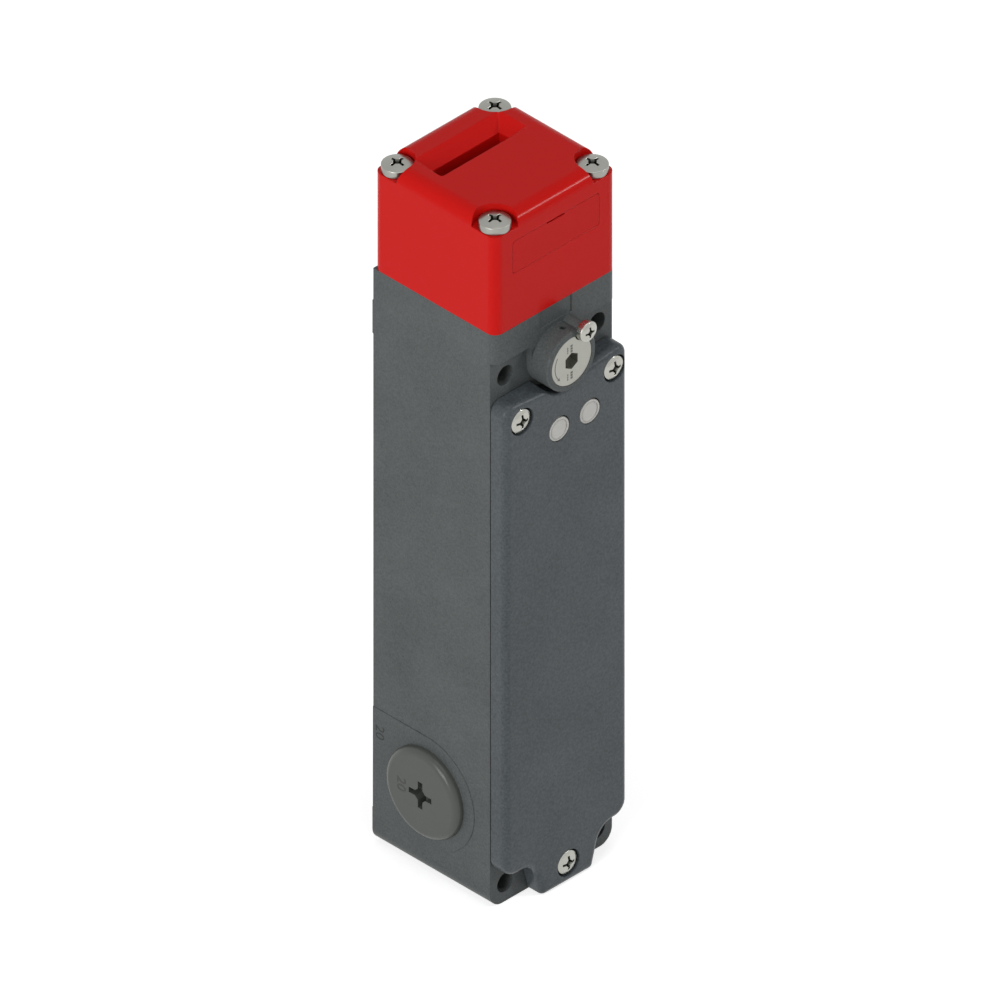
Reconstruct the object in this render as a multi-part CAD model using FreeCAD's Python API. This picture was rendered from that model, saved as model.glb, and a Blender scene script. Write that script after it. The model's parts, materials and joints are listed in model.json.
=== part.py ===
import FreeCAD, Part
import math
import os

# Guard locking switch with a separate actuator head, in millimetres.
# Frame: +X right, +Y back, +Z up. The origin lies on the bottom face, under the middle of the head.

V = FreeCAD.Vector

# Clearances
FIT = 0.05            # radial, shafts and slides that move
DROP_IN = 0.1         # pieces that drop into a pocket
LASH = 0.1            # between a cam and its follower
CLEAR = 0.3           # between pieces that pass each other

# Die-cast body
BODY_W = 40.0
BODY_H = 163.2
BACK_SHY = 0.1        # the back stands this far short of the half width
MATE_STEP = 1.6       # from the front of the top block to the plane that the cover closes on
WALL = 2.8
CORNER_R = 2.5        # upright front corners of the top block, and all of the head's
FOOT_R = 4.0          # rounding of the lower side edges
SHOULDER_DROP = 8.5   # height of the top block's front step
CAVITY_LOW = 13.5
CAVITY_DROP = 29.4    # from the body's top to the cavity
CAVITY_R = 2.0
BACK_PAD = 0.3        # height of the pads behind the fixing holes
BACK_PAD_H = 9.4

# Fixing holes, for 5 mm screws
FIX_EDGE = 5.0        # from the side of the body
FIX_LOW_Z = 5.4
FIX_R = 2.65

# Release turret
TURRET_DROP = 13.9    # from the body's top; the upper fixing holes are as high
TURRET_R = 8.0
TURRET_OUT = 5.25     # in front of the top block
NECK_FILLET = 1.6
RIM_CHAMFER = 0.4
SEAL_HOLE_R = 0.75
SEAL_HOLE_IN = 3.05   # from the turret's front
PATCH_HALF = 5.2      # shallow field above the turret
PATCH_H = 4.8
PATCH_DEEP = 0.25

# Channel from the body up to the head, with a ledge for the guide plate
CHANNEL_HALF = 9.0
CHANNEL_FRONT = -12.0
CHANNEL_BACK = 6.0
LEDGE = 1.0
PLATE_T = 3.0

# Front cover
COVER_T = 5.17
COVER_DROP = 19.1     # from the body's top
COVER_TOP_R = 3.0
COVER_LOW_R = 4.0
COVER_EDGE_R = 1.7
COVER_WALL = 2.2
COVER_FRAME = 3.0     # breadth of the solid rim at the sides of the cover
FOOT_CLEAR_R = 5.1    # room round the lower fixing holes
FOOT_SLANT = 15.0     # degrees, sides of the cover's foot
FOOT_CORNER_R = 1.2
TOP_SLOPE = 0.131     # fall of the upper front edge towards the turret
NOTCH_GAP = 1.1       # round the turret
NOTCH_EDGE = 0.5      # edge break of the notch
SEAM_EDGE = 0.3       # edge break of the cover's back, shows as the seam
COVER_SHIFT = 0.6     # foot and screws stand this far to the right of the middle

# Cover screws
COVER_SCREW_EDGE = 4.8
COVER_SCREW_DROP = 5.65  # from the cover's top
COVER_SCREW_LOW_Z = 5.6
COVER_HEAD_R = 3.15
COVER_HEAD_H = 2.1
COVER_SINK_R = 3.6
COVER_SINK = 2.45

# Screws in general
M4_R = 1.95
M4_HOLE_R = 2.0
M4_PASS_R = 2.15
COVER_SCREW_IN = 10.0
HEAD_SCREW_IN = 7.0
HOLE_SPARE = 1.0      # depth left under a screw or plunger
SCREW_RIM = 0.2       # rounding of a head's rim, share of its height
CROSS_W = 0.9
CROSS_REACH = 0.6     # share of the head's radius
CROSS_DEEP = 1.1

# Indicator lenses and their board
LENS_DROP = 3.2       # from the cavity's top
LENS_X = (-2.45, 7.6)
LENS_R = 3.25
LENS_FLANGE_R = 4.1
LENS_FLANGE = 0.6
BOARD_T = 1.2
BOARD_EDGE = 5.2      # board beyond the lens axes, left, right and below
BOARD_UP = 2.9
POST_R = 0.8

# Gasket cords
CORD_W = 1.2
CORD_H = 0.9
COVER_CORD_IN = 1.4   # from the outline to the middle of the cord
COVER_CORD_UP = 1.5   # from the cavity's top to the middle of the cord
HEAD_CORD_IN = 5.0    # from the side of the head
HEAD_CORD_R = 5.0

# Head
HEAD_H = 31.25
HEAD_TOP_R = 3.7
HEAD_WALL = 6.8
HEAD_CAVITY_R = 3.0
HEAD_ROOF = 7.45
HEAD_SCREW_EDGE = 4.0
HEAD_SCREW_R = 3.85
HEAD_SCREW_H = 2.2
POCKET_EDGE = 3.1
POCKET_R = 5.5
POCKET_DEEP = 3.55

# Actuator entries: one in the top, one in the front behind the cap
KEY_HALF = 11.0
KEY_T = 3.2
KEY_OFF = 8.0         # from the cam wheel's axis
LEAD_IN = 3.15
LEAD_IN_R = 1.1
CAP_HALF = 14.15
CAP_H = 9.0
CAP_T = 1.6
CAP_CORNER_R = 1.0
CAP_TONGUE = 4.0
CAP_NOTCH_HALF = 3.0
CAP_NOTCH = 0.45

# Cam wheel and push rod
WHEEL_UP = 11.7       # axis above the body's top
WHEEL_R = 9.5
WHEEL_IN = 4.4        # inner and outer faces of the two toothed discs
WHEEL_OUT = 8.0
WHEEL_HUB_R = 4.0
AXLE_R = 2.0
AXLE_SEAT = 2.3
TOOTH_LOW = 2.4
NOTCH_OFF = 6.2
LOCK_NOTCH_IN = 5.6   # floor of the notch for the lock bar, from the axis
LOBE_R = 5.4
LOBE_HALF = 3.2
LOBE_BACK_R = 4.5
ROD_LIFT = 3.6
ROD_TURN = 90.0       # degrees
ROD_R = 2.5
ROD_TIP_R = 1.8
ROD_SHOULDER_DROP = 27.0  # from the body's top
ROD_IN = 6.0          # in the middle contact block
ROD_SPRING_H = 11.0
ROD_HEAD_T = 1.8
ROD_HEAD_HALF = 3.6
ROD_HEAD_FRONT = -3.2
ROD_HEAD_BACK = 5.0
WASHER_R = 4.0
WASHER_T = 1.2
SPRING_WIRE = 0.8
SPRING_R = 2.75

# Release shaft and cam
DISC_R = 6.45
DISC_T = 2.6
DISC_SUNK = 0.1
HEX_FLATS = 4.0
HEX_DEEP = 3.0
BITE_R = 2.85
LOCK_X = 3.9
LOCK_UP = 7.1         # above the turret's axis
LOCK_HEAD_R = 2.65
LOCK_HEAD_H = 1.75
LOCK_R = 1.2
LOCK_IN = 5.0
LOCK_LUG_R = 1.7
SHAFT_R = 3.5
SEAL_Y = -17.6
SEAL_W = 1.6
SEAL_DEEP = 0.85
SQUARE = 3.6
TAIL_R = 1.6
RELEASE_CAM_R = 2.5
RELEASE_CAM_T = 2.8
RELEASE_CAM_BACK_R = 4.5
RELEASE_LIFT = 4.0
RELEASE_TURN = 180.0  # degrees
CLIP_R = 2.9
CLIP_T = 0.7

# Lock bar
BAR_FRONT = -7.0
BAR_T = 2.5
BAR_HALF = 3.0
BAR_END = 3.0         # beyond the cross pin
BAR_PIN_UP = 5.0      # above the solenoid
BAR_PIN_R = 1.25
BAR_ARM_OVER = 0.8    # left over the side blocks when the bar is down
BAR_ARM_T = 2.5
BAR_WIDE_H = 10.0
BAR_WIDE_OVER = 1.3   # above the tab
NOSE_IN = 4.6
NOSE_OUT = 7.6
TAB_T = 3.0
TAB_STEP = 1.0

# Solenoid
SOL_OVER = 2.6        # above the terminal strip
SOL_UNDER = 4.0       # below the side blocks
SOL_SIDE = 1.7        # from the cavity's wall
SOL_FRONT = -17.75
SOL_BACK = 8.25
SOL_SHEET = 2.0
COIL_R = 11.4
BOBBIN_HALF = 12.0
BOBBIN_FLANGE = 2.0
BOBBIN_WALL = 1.0
ARMATURE_R = 4.5
ARMATURE_END = 3.0    # above the cross pin
FORK_IN = 3.5         # below the cross pin
CORE_T = 1.8
ARM_SPRING_BORE = 2.8
ARM_SPRING_H = 16.2
ARM_SPRING_R = 2.2
SPRING_TURNS = 5
PILLAR_EDGE = 3.5     # from the sides of the solenoid's sheet
PILLAR_END = 10.0     # from its ends
PILLAR_R = 3.0
M3_R = 1.45
M3_HOLE_R = 1.5
M3_HEAD_R = 2.75
M3_HEAD_H = 1.8
M3_IN = 6.0

# Contact blocks
BLOCK_OVER = 5.0      # its underside over that of the side blocks
BLOCK_HALF = 7.0
BLOCK_FRONT = -3.9
SIDE_BLOCK_GAP = 1.4  # from the middle block
SIDE_BLOCK_SIDE = 0.6  # from the cavity's wall
SIDE_BLOCK_FRONT = -12.0
SIDE_BLOCK_UNDER = 2.0  # below the top of the middle block
SIDE_BLOCK_H = 24.0
PLUNGER_R = 1.5
PLUNGER_IN = 10.0     # in its block
TERMINAL_R = 1.6
TERMINAL_T = 1.0

# Wiring terminals
STRIP_HALF = 12.6
STRIP_OVER = 2.6      # above the entries' bosses
STRIP_H = 9.0
STRIP_FRONT = 6.0
STRIP_POLES = 6
STRIP_WELL_R = 1.6
STRIP_WELL = 2.0

# Conduit entries, M20, and their plugs
ENTRY_Y = 2.1
ENTRY_Z = 23.4
ENTRY_R = 9.25
ENTRY_BOSS_R = 12.4
ENTRY_BOSS_IN = 6.0
ENTRY_PAD = 0.15
ENTRY_PAD_R = 15.4
PLUG_R = 12.0
PLUG_H = 2.3
PLUG_RIM_R = 1.8
PLUG_STEM_IN = 5.6
PLUG_WALL = 1.6
PLUG_CROSS_REACH = 3.7
PLUG_CROSS_CORE = 1.7   # half side of the square that widens the cross in its middle
PLUG_CROSS_W = 1.5
PLUG_CROSS_DEEP = 2.8
PLUG_CROSS_FLOOR = 1.2
PLUG_SEAL_IN = 9.7
PLUG_SEAL_OUT = 11.0
PLUG_SEAL_T = 1.0

# Places that follow from the sizes above
HALF_W = BODY_W / 2
FRONT_Y = -HALF_W     # front of the top block and of the head
BACK_Y = HALF_W - BACK_SHY
MATE_Y = FRONT_Y + MATE_STEP
COVER_Y = MATE_Y - COVER_T
TURRET_Y = FRONT_Y - TURRET_OUT
SEAL_HOLE_Y = TURRET_Y + SEAL_HOLE_IN
INNER = HALF_W - WALL
INNER_BACK = BACK_Y - WALL
HEAD_TOP = BODY_H + HEAD_H
SHOULDER_Z = BODY_H - SHOULDER_DROP
PATCH_Z = BODY_H - PATCH_H
CAVITY_TOP = BODY_H - CAVITY_DROP
PLATE_TOP = BODY_H - CLEAR
PLATE_LOW = PLATE_TOP - PLATE_T
TURRET_Z = BODY_H - TURRET_DROP
LOCK_Z = TURRET_Z + LOCK_UP
FIX_X = HALF_W - FIX_EDGE
FIX_TOP_Z = TURRET_Z
COVER_TOP = BODY_H - COVER_DROP
COVER_SCREW_X = HALF_W - COVER_SCREW_EDGE
COVER_SCREW_Z = COVER_TOP - COVER_SCREW_DROP
LENS_Z = CAVITY_TOP - LENS_DROP
HEAD_CORD_HALF = HALF_W - HEAD_CORD_IN
HEAD_CAVITY = HALF_W - HEAD_WALL
HEAD_SCREW_X = HALF_W - HEAD_SCREW_EDGE
POCKET_X = HALF_W - POCKET_EDGE
WHEEL_Z = BODY_H + WHEEL_UP
WHEEL_RATE = ROD_LIFT / math.radians(ROD_TURN)
RELEASE_RATE = RELEASE_LIFT / math.radians(RELEASE_TURN)
ROD_TOP = WHEEL_Z - LOBE_R - LASH
ROD_SHOULDER_Z = BODY_H - ROD_SHOULDER_DROP
BLOCK_TOP = ROD_SHOULDER_Z - WASHER_T - ROD_SPRING_H
ROD_END_Z = BLOCK_TOP - ROD_IN
SIDE_BLOCK_TOP = BLOCK_TOP - SIDE_BLOCK_UNDER
SIDE_BLOCK_LOW = SIDE_BLOCK_TOP - SIDE_BLOCK_H
BLOCK_LOW = SIDE_BLOCK_LOW + BLOCK_OVER
SIDE_BLOCK_IN = BLOCK_HALF + SIDE_BLOCK_GAP
SIDE_BLOCK_OUT = INNER - SIDE_BLOCK_SIDE
PLUNGER_X = (SIDE_BLOCK_IN + SIDE_BLOCK_OUT) / 2
PLUNGER_LOW = SIDE_BLOCK_TOP - PLUNGER_IN
FOLLOW_Z = TURRET_Z - RELEASE_CAM_R - LASH
DISC_FRONT = TURRET_Y + DISC_SUNK
DISC_BACK = DISC_FRONT + DISC_T
CAM_FRONT = CHANNEL_FRONT + CLEAR
CAM_BACK = CAM_FRONT + RELEASE_CAM_T
BAR_BACK = BAR_FRONT + BAR_T
BAR_Y = (BAR_FRONT + BAR_BACK) / 2
BAR_ARM_Z = SIDE_BLOCK_TOP + RELEASE_LIFT + BAR_ARM_OVER
BAR_ARM_HALF = PLUNGER_X + PLUNGER_R
BAR_WIDE_TOP = FOLLOW_Z + BAR_WIDE_OVER
BAR_WIDE_Z = BAR_WIDE_TOP - BAR_WIDE_H
STRIP_LOW = ENTRY_Z + ENTRY_BOSS_R + STRIP_OVER
SOL_Y = BAR_Y
SOL_HALF = INNER - SOL_SIDE
SOL_LOW = STRIP_LOW + STRIP_H + SOL_OVER
SOL_TOP = SIDE_BLOCK_LOW - SOL_UNDER
PILLAR_X = SOL_HALF - PILLAR_EDGE
PILLAR_Z = (SOL_LOW + PILLAR_END, SOL_TOP - PILLAR_END)
BAR_PIN_Z = SOL_TOP + BAR_PIN_UP
BAR_LOW = BAR_PIN_Z - BAR_END
FORK_LOW = BAR_PIN_Z - FORK_IN
ARMATURE_TOP = BAR_PIN_Z + ARMATURE_END
CAP_Z = WHEEL_Z + KEY_OFF
COVER_LOW = FIX_LOW_Z + FOOT_CLEAR_R
COVER_INNER_Y = COVER_Y + COVER_WALL
BOARD_FRONT = COVER_INNER_Y + LENS_FLANGE
CORE_TOP = SOL_LOW + SOL_SHEET + CORE_T
ARM_SPRING_TOP = CORE_TOP + ARM_SPRING_H
ARMATURE_LOW = CORE_TOP + RELEASE_LIFT + CLEAR
PAD_X = HALF_W + ENTRY_PAD


def box(x0, x1, y0, y1, z0, z1):
    """Block between two corners."""
    return Part.makeBox(x1 - x0, y1 - y0, z1 - z0, V(x0, y0, z0))


def round_x(y, z, radius, x0, x1):
    """Cylinder along X."""
    return Part.makeCylinder(radius, x1 - x0, V(x0, y, z), V(1, 0, 0))


def round_y(x, z, radius, y0, y1):
    """Cylinder along Y."""
    return Part.makeCylinder(radius, y1 - y0, V(x, y0, z), V(0, 1, 0))


def round_z(x, y, radius, z0, z1):
    """Cylinder along Z."""
    return Part.makeCylinder(radius, z1 - z0, V(x, y, z0), V(0, 0, 1))


def soften(shape, radius, axis):
    """Rounds every straight edge that runs along the axis."""
    edges = []
    for edge in shape.Edges:
        if isinstance(edge.Curve, Part.Line) and abs(edge.Curve.Direction.dot(axis)) > 0.999:
            edges.append(edge)
    return shape.makeFillet(radius, edges)


def on_x(level):
    """Puts a flat (y, z) point at one x."""
    return lambda p: V(level, p.x, p.y)


def on_y(level):
    """Puts a flat (x, z) point at one y."""
    return lambda p: V(p.x, level, p.y)


def on_z(level):
    """Puts a flat (x, y) point at one z."""
    return lambda p: V(p.x, p.y, level)


def outline(corners, place):
    """Closed wire through corners given as (a, b, rounding radius)."""
    turns = []
    for i, (a, b, radius) in enumerate(corners):
        here = V(a, b, 0)
        before = corners[i - 1]
        after = corners[(i + 1) % len(corners)]
        back = (V(before[0], before[1], 0) - here).normalize()
        ahead = (V(after[0], after[1], 0) - here).normalize()
        if radius == 0:
            turns.append((here, None, here))
            continue
        half = back.getAngle(ahead) / 2
        reach = radius / math.tan(half)
        inward = (back + ahead).normalize()
        middle = here + inward * (radius / math.sin(half) - radius)
        turns.append((here + back * reach, middle, here + ahead * reach))
    edges = []
    for i, (start, middle, end) in enumerate(turns):
        if middle is not None:
            edges.append(Part.Arc(place(start), place(middle), place(end)).toShape())
        following = turns[(i + 1) % len(turns)][0]
        if (following - end).Length > 1e-6:
            edges.append(Part.makeLine(place(end), place(following)))
    return Part.Wire(edges)


def slab_x(corners, x0, x1):
    """Prism along X of a rounded (y, z) outline."""
    return Part.Face(outline(corners, on_x(x0))).extrude(V(x1 - x0, 0, 0))


def slab_y(corners, y0, y1):
    """Prism along Y of a rounded (x, z) outline."""
    return Part.Face(outline(corners, on_y(y0))).extrude(V(0, y1 - y0, 0))


def slab_z(corners, z0, z1):
    """Prism along Z of a rounded (x, y) outline."""
    return Part.Face(outline(corners, on_z(z0))).extrude(V(0, 0, z1 - z0))


def rectangle(a0, a1, b0, b1, radius=0.0):
    """Corners of a rectangle, all with one rounding."""
    return [(a0, b0, radius), (a1, b0, radius), (a1, b1, radius), (a0, b1, radius)]


def both_sides(shape):
    """The shape and its mirror image across the middle plane."""
    return [shape, shape.mirror(V(0, 0, 0), V(1, 0, 0))]


def one(shape):
    """Drops the seams that fusing leaves."""
    return shape.removeSplitter()


def save(name, *solids):
    """Writes one node; several solids make one group."""
    shape = solids[0] if len(solids) == 1 else Part.makeCompound(list(solids))
    shape.exportStep("parts/" + name + ".step")


def pan_screw(head_r, head_h, shank_r, shank):
    """Cross-recessed pan-head screw, head up along +Z, seat at z = 0."""
    head = Part.makeCylinder(head_r, head_h)
    rim = [e for e in head.Edges if isinstance(e.Curve, Part.Circle) and e.Curve.Center.z > head_h / 2]
    head = head.makeFillet(head_h * SCREW_RIM, rim)
    screw = one(head.fuse(round_z(0, 0, shank_r, -shank, 0)))
    reach = head_r * CROSS_REACH
    half = CROSS_W / 2
    low = head_h - CROSS_DEEP
    cross = box(-reach, reach, -half, half, low, head_h).fuse(box(-half, half, -reach, reach, low, head_h))
    return screw.cut(cross)


def turned(shape, place, axis, angle):
    """Turns a shape about the origin, then moves it to its place."""
    copy = shape.copy()
    copy.rotate(V(0, 0, 0), axis, angle)
    copy.translate(place)
    return copy


def arc_round(hub, start, end):
    """Anticlockwise arc about a hub, in the XY plane."""
    first = math.atan2(start.y - hub.y, start.x - hub.x)
    sweep = (math.atan2(end.y - hub.y, end.x - hub.x) - first) % (2 * math.pi)
    radius = (start - hub).Length
    halfway = first + sweep / 2
    middle = hub + V(radius * math.cos(halfway), radius * math.sin(halfway), 0)
    return Part.Arc(start, middle, end).toShape()


def lift_cam(base, rate, start, end, back_radius, thick):
    """Plate cam in the XY plane whose flat follower rises evenly with the angle.

    Between the directions start and end, in degrees, the outline is the involute of a circle. The rest is
    two arcs of the back radius and the straight line that touches both.
    """
    first = math.radians(start)
    last = math.radians(end)
    steps = 24
    flat = []
    for i in range(steps + 1):
        angle = first + (last - first) * i / steps
        height = base + rate * (angle - first)
        flat.append(V(height * math.cos(angle) - rate * math.sin(angle),
                      height * math.sin(angle) + rate * math.cos(angle), 0))
    curve = Part.BSplineCurve()
    curve.interpolate(Points=flat)
    end_hub = flat[-1] - V(math.cos(last), math.sin(last), 0) * back_radius
    start_hub = flat[0] - V(math.cos(first), math.sin(first), 0) * back_radius
    along = (start_hub - end_hub).normalize()
    outward = V(along.y, -along.x, 0) * back_radius
    line_start = end_hub + outward
    line_end = start_hub + outward
    edges = [curve.toShape(), arc_round(end_hub, flat[-1], line_start), Part.makeLine(line_start, line_end)]
    if (line_end - flat[0]).Length > 1e-4:
        edges.append(arc_round(start_hub, line_end, flat[0]))
    else:
        edges[-1] = Part.makeLine(line_start, flat[0])
    return Part.Face(Part.Wire(edges)).extrude(V(0, 0, thick))


def body_blank():
    """Outside of the die-cast body, without its holes."""
    lower = slab_y([(-HALF_W, 0, FOOT_R), (HALF_W, 0, FOOT_R), (HALF_W, BODY_H, 0), (-HALF_W, BODY_H, 0)],
                   MATE_Y, BACK_Y)
    top = slab_z([(-HALF_W, FRONT_Y, CORNER_R), (HALF_W, FRONT_Y, CORNER_R), (HALF_W, BACK_Y, 0),
                  (-HALF_W, BACK_Y, 0)], SHOULDER_Z, BODY_H)
    neck = box(-TURRET_R, TURRET_R, FRONT_Y, MATE_Y, TURRET_Z, SHOULDER_Z + NECK_FILLET)
    wide = TURRET_R + NECK_FILLET
    web = box(-wide, wide, FRONT_Y, MATE_Y, SHOULDER_Z - NECK_FILLET, SHOULDER_Z)
    for side in (-1, 1):
        web = web.cut(round_y(side * wide, SHOULDER_Z - NECK_FILLET, NECK_FILLET, FRONT_Y - 1, MATE_Y + 1))
    turret = round_y(0, TURRET_Z, TURRET_R, TURRET_Y, MATE_Y)
    turret = one(turret.fuse(round_y(LOCK_X, LOCK_Z, LOCK_LUG_R, TURRET_Y, MATE_Y)))
    turret = turret.makeChamfer(RIM_CHAMFER, [e for e in turret.Edges if e.BoundBox.YMax < TURRET_Y + 0.01])
    body = lower.cut(box(-HALF_W, HALF_W, MATE_Y - 1, BACK_Y + 1, SHOULDER_Z, BODY_H)).fuse(top)
    for z0, z1 in ((0, FIX_LOW_Z + BACK_PAD_H / 2), (FIX_TOP_Z - BACK_PAD_H / 2, FIX_TOP_Z + BACK_PAD_H / 2)):
        pad = box(-HALF_W, HALF_W, BACK_Y - 1, BACK_Y + BACK_PAD, z0, z1)
        if z0 == 0:
            pad = soften(box(-HALF_W, HALF_W, BACK_Y - 1, BACK_Y + BACK_PAD, z0, z1 + FOOT_R), FOOT_R,
                         V(0, 1, 0)).cut(box(-HALF_W, HALF_W, BACK_Y - 2, BACK_Y + 1, z1, z1 + 2 * FOOT_R))
        body = body.fuse(pad)
    return one(body.fuse([neck, web, turret]))


def groove_loop(half_x, low, high, radius, width, place_slab, start, depth):
    """Closed ring of rectangular section, such as a gasket cord or its groove."""
    w = width / 2
    outer = place_slab(rectangle(-half_x - w, half_x + w, low - w, high + w, radius + w), start,
                       start + depth)
    inner = place_slab(rectangle(-half_x + w, half_x - w, low + w, high - w, radius - w), start - 1,
                       start + depth + 1)
    return outer.cut(inner)


def head_cord(width, depth):
    """Ring under the head, or its groove in the top of the body."""
    return groove_loop(HEAD_CORD_HALF, -HEAD_CORD_HALF, HEAD_CORD_HALF, HEAD_CORD_R, width, slab_z,
                       BODY_H - depth, depth)


def cover_cord(width, depth):
    """Ring behind the cover, or its groove in the cover's back face."""
    return groove_loop(HALF_W - COVER_CORD_IN, COVER_LOW + COVER_CORD_IN, CAVITY_TOP + COVER_CORD_UP,
                       COVER_LOW_R - COVER_CORD_IN, width, slab_y, MATE_Y - depth, depth)


def entry_pad():
    """Thin raised field round the right-hand conduit entry, running to the back edge."""
    disc = round_x(ENTRY_Y, ENTRY_Z, ENTRY_PAD_R, HALF_W - 1, PAD_X)
    back = box(HALF_W - 1, PAD_X, ENTRY_Y, BACK_Y, ENTRY_Z - ENTRY_PAD_R, ENTRY_Z + ENTRY_PAD_R)
    return disc.fuse(back)


def body_holes():
    """Screw holes of the body, all round."""
    holes = []
    for side in (-1, 1):
        for z in (FIX_LOW_Z, FIX_TOP_Z):
            holes.append(round_y(side * FIX_X, z, FIX_R, FRONT_Y - 1, BACK_Y + 1))
        for y in (-HEAD_SCREW_X, HEAD_SCREW_X):
            holes.append(round_z(side * HEAD_SCREW_X, y, M4_HOLE_R, BODY_H - HEAD_SCREW_IN - HOLE_SPARE,
                                 BODY_H + 1))
        for z in PILLAR_Z:
            holes.append(round_y(side * PILLAR_X, z, M3_HOLE_R, SOL_BACK - 1, SOL_BACK + M3_IN + HOLE_SPARE))
    for x, z in cover_screw_places():
        holes.append(round_y(x, z, M4_HOLE_R, MATE_Y - 1, MATE_Y + COVER_SCREW_IN + HOLE_SPARE))
    return holes


def turret_holes():
    """Pocket, bore and small holes of the release turret."""
    pocket = round_y(0, TURRET_Z, DISC_R + DROP_IN, TURRET_Y - 1, DISC_BACK + DROP_IN)
    bore = round_y(0, TURRET_Z, SHAFT_R + FIT, DISC_BACK, CHANNEL_FRONT + 1)
    lock = round_y(LOCK_X, LOCK_Z, LOCK_R + FIT, TURRET_Y - 1, TURRET_Y + LOCK_IN + HOLE_SPARE)
    seal = round_z(0, SEAL_HOLE_Y, SEAL_HOLE_R, TURRET_Z + DISC_R + 2 * CLEAR, TURRET_Z + TURRET_R + 1)
    return [pocket, bore, lock, seal]


def body_housing():
    """Die-cast body: hollow shell, open at the front, with a channel up to the head."""
    cavity = slab_y(rectangle(-INNER, INNER, CAVITY_LOW, CAVITY_TOP, CAVITY_R), MATE_Y - 1, INNER_BACK)
    channel = box(-CHANNEL_HALF, CHANNEL_HALF, CHANNEL_FRONT, CHANNEL_BACK, CAVITY_TOP - 1, BODY_H + 1)
    ledge = box(-CHANNEL_HALF - LEDGE, CHANNEL_HALF + LEDGE, CHANNEL_FRONT - LEDGE, CHANNEL_BACK + LEDGE,
                PLATE_LOW, BODY_H + 1)
    patch = box(-PATCH_HALF, PATCH_HALF, FRONT_Y - 1, FRONT_Y + PATCH_DEEP, PATCH_Z, BODY_H + 1)
    body = body_blank().cut([cavity, channel, ledge, patch])
    extra = []
    for shape in (entry_pad(), round_x(ENTRY_Y, ENTRY_Z, ENTRY_BOSS_R, HALF_W - ENTRY_BOSS_IN, HALF_W)):
        extra += both_sides(shape)
    for z in PILLAR_Z:
        extra += both_sides(round_y(PILLAR_X, z, PILLAR_R, SOL_BACK, INNER_BACK + 1))
    body = body.fuse(extra)
    entries = both_sides(round_x(ENTRY_Y, ENTRY_Z, ENTRY_R, HALF_W - ENTRY_BOSS_IN - 1, PAD_X + 1))
    cord = head_cord(CORD_W + DROP_IN, CORD_H)
    return one(body.cut(body_holes() + turret_holes() + entries + [cord]))


def cover_outline():
    """Outline of the cover: a plate with a slanted foot between the lower fixing holes."""
    slant = math.radians(FOOT_SLANT)
    foot = []
    for z in (0, COVER_LOW):
        foot.append(FIX_X + ((z - FIX_LOW_Z) * math.sin(slant) - FOOT_CLEAR_R) / math.cos(slant))
    right = [(foot[0], 0, FOOT_CORNER_R), (foot[1], COVER_LOW, FOOT_CLEAR_R),
             (HALF_W, COVER_LOW, COVER_LOW_R), (HALF_W, COVER_TOP, COVER_TOP_R)]
    left = [(-x, z, radius) for x, z, radius in reversed(right)]
    corners = right + left
    for i in (0, 1, -2, -1):
        x, z, radius = corners[i]
        corners[i] = (x + COVER_SHIFT, z, radius)
    return corners


def top_slope():
    """Wedge that makes the cover's upper front edge fall towards the turret, right-hand side."""
    outer = HALF_W - COVER_TOP_R
    above = COVER_TOP + 2
    ends = []
    for y in (MATE_Y + 1, COVER_Y - 1):
        fall = TOP_SLOPE * outer * (MATE_Y - y) / (MATE_Y - COVER_Y)
        ends.append(outline([(outer, COVER_TOP, 0), (outer, above, 0), (0, above, 0),
                             (0, COVER_TOP - fall, 0)], on_y(y)))
    return Part.makeLoft(ends, True, True)


def cover_screw_places():
    """Axes of the cover screws, as (x, z)."""
    return [(COVER_SHIFT - COVER_SCREW_X, COVER_SCREW_Z), (COVER_SHIFT + COVER_SCREW_X, COVER_SCREW_Z),
            (COVER_SHIFT, COVER_SCREW_LOW_Z)]


def front_cover():
    """Die-cast cover, hollow behind, notched round the turret."""
    cover = slab_y(cover_outline(), COVER_Y, MATE_Y)
    cover = cover.makeChamfer(SEAM_EDGE, [e for e in cover.Edges if e.BoundBox.YMin > MATE_Y - 1e-4])
    cover = one(cover.cut(both_sides(top_slope())))
    cover = cover.makeFillet(COVER_EDGE_R, [e for e in cover.Edges if e.BoundBox.YMax < COVER_Y + 1e-4])
    inner = HALF_W - COVER_FRAME
    hollow = slab_y(rectangle(-inner, inner, CAVITY_LOW, CAVITY_TOP, CAVITY_R), COVER_INNER_Y, MATE_Y + 1)
    radius = TURRET_R + NOTCH_GAP
    notch = round_y(0, TURRET_Z, radius, COVER_Y - 1, MATE_Y + 1)
    deep = NOTCH_EDGE + 1
    edge = Part.makeCone(radius + deep, radius, deep, V(0, COVER_Y - 1, TURRET_Z), V(0, 1, 0))
    cuts = [hollow, cover_cord(CORD_W + DROP_IN, CORD_H), notch, edge]
    for x, z in cover_screw_places():
        cuts.append(round_y(x, z, COVER_SINK_R, COVER_Y - 1, COVER_Y + COVER_SINK))
        cuts.append(round_y(x, z, M4_PASS_R, COVER_Y, MATE_Y + 1))
    for x in LENS_X:
        cuts.append(round_y(x, LENS_Z, LENS_R + FIT, COVER_Y - 1, COVER_INNER_Y + 1))
    cover = cover.cut(cuts)
    posts = [round_y(x, z, POST_R, COVER_INNER_Y - 1, BOARD_FRONT) for x, z in board_posts()]
    return one(cover.fuse(posts))


def board_edges():
    """Edges of the indicator board: left, right, low and high."""
    return LENS_X[0] - BOARD_EDGE, LENS_X[1] + BOARD_EDGE, LENS_Z - BOARD_EDGE, LENS_Z + BOARD_UP


def board_posts():
    """Posts of the cover that the board lies on."""
    left, right, low, _ = board_edges()
    return [(left + POST_R, low + POST_R), (right - POST_R, low + POST_R)]


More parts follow.
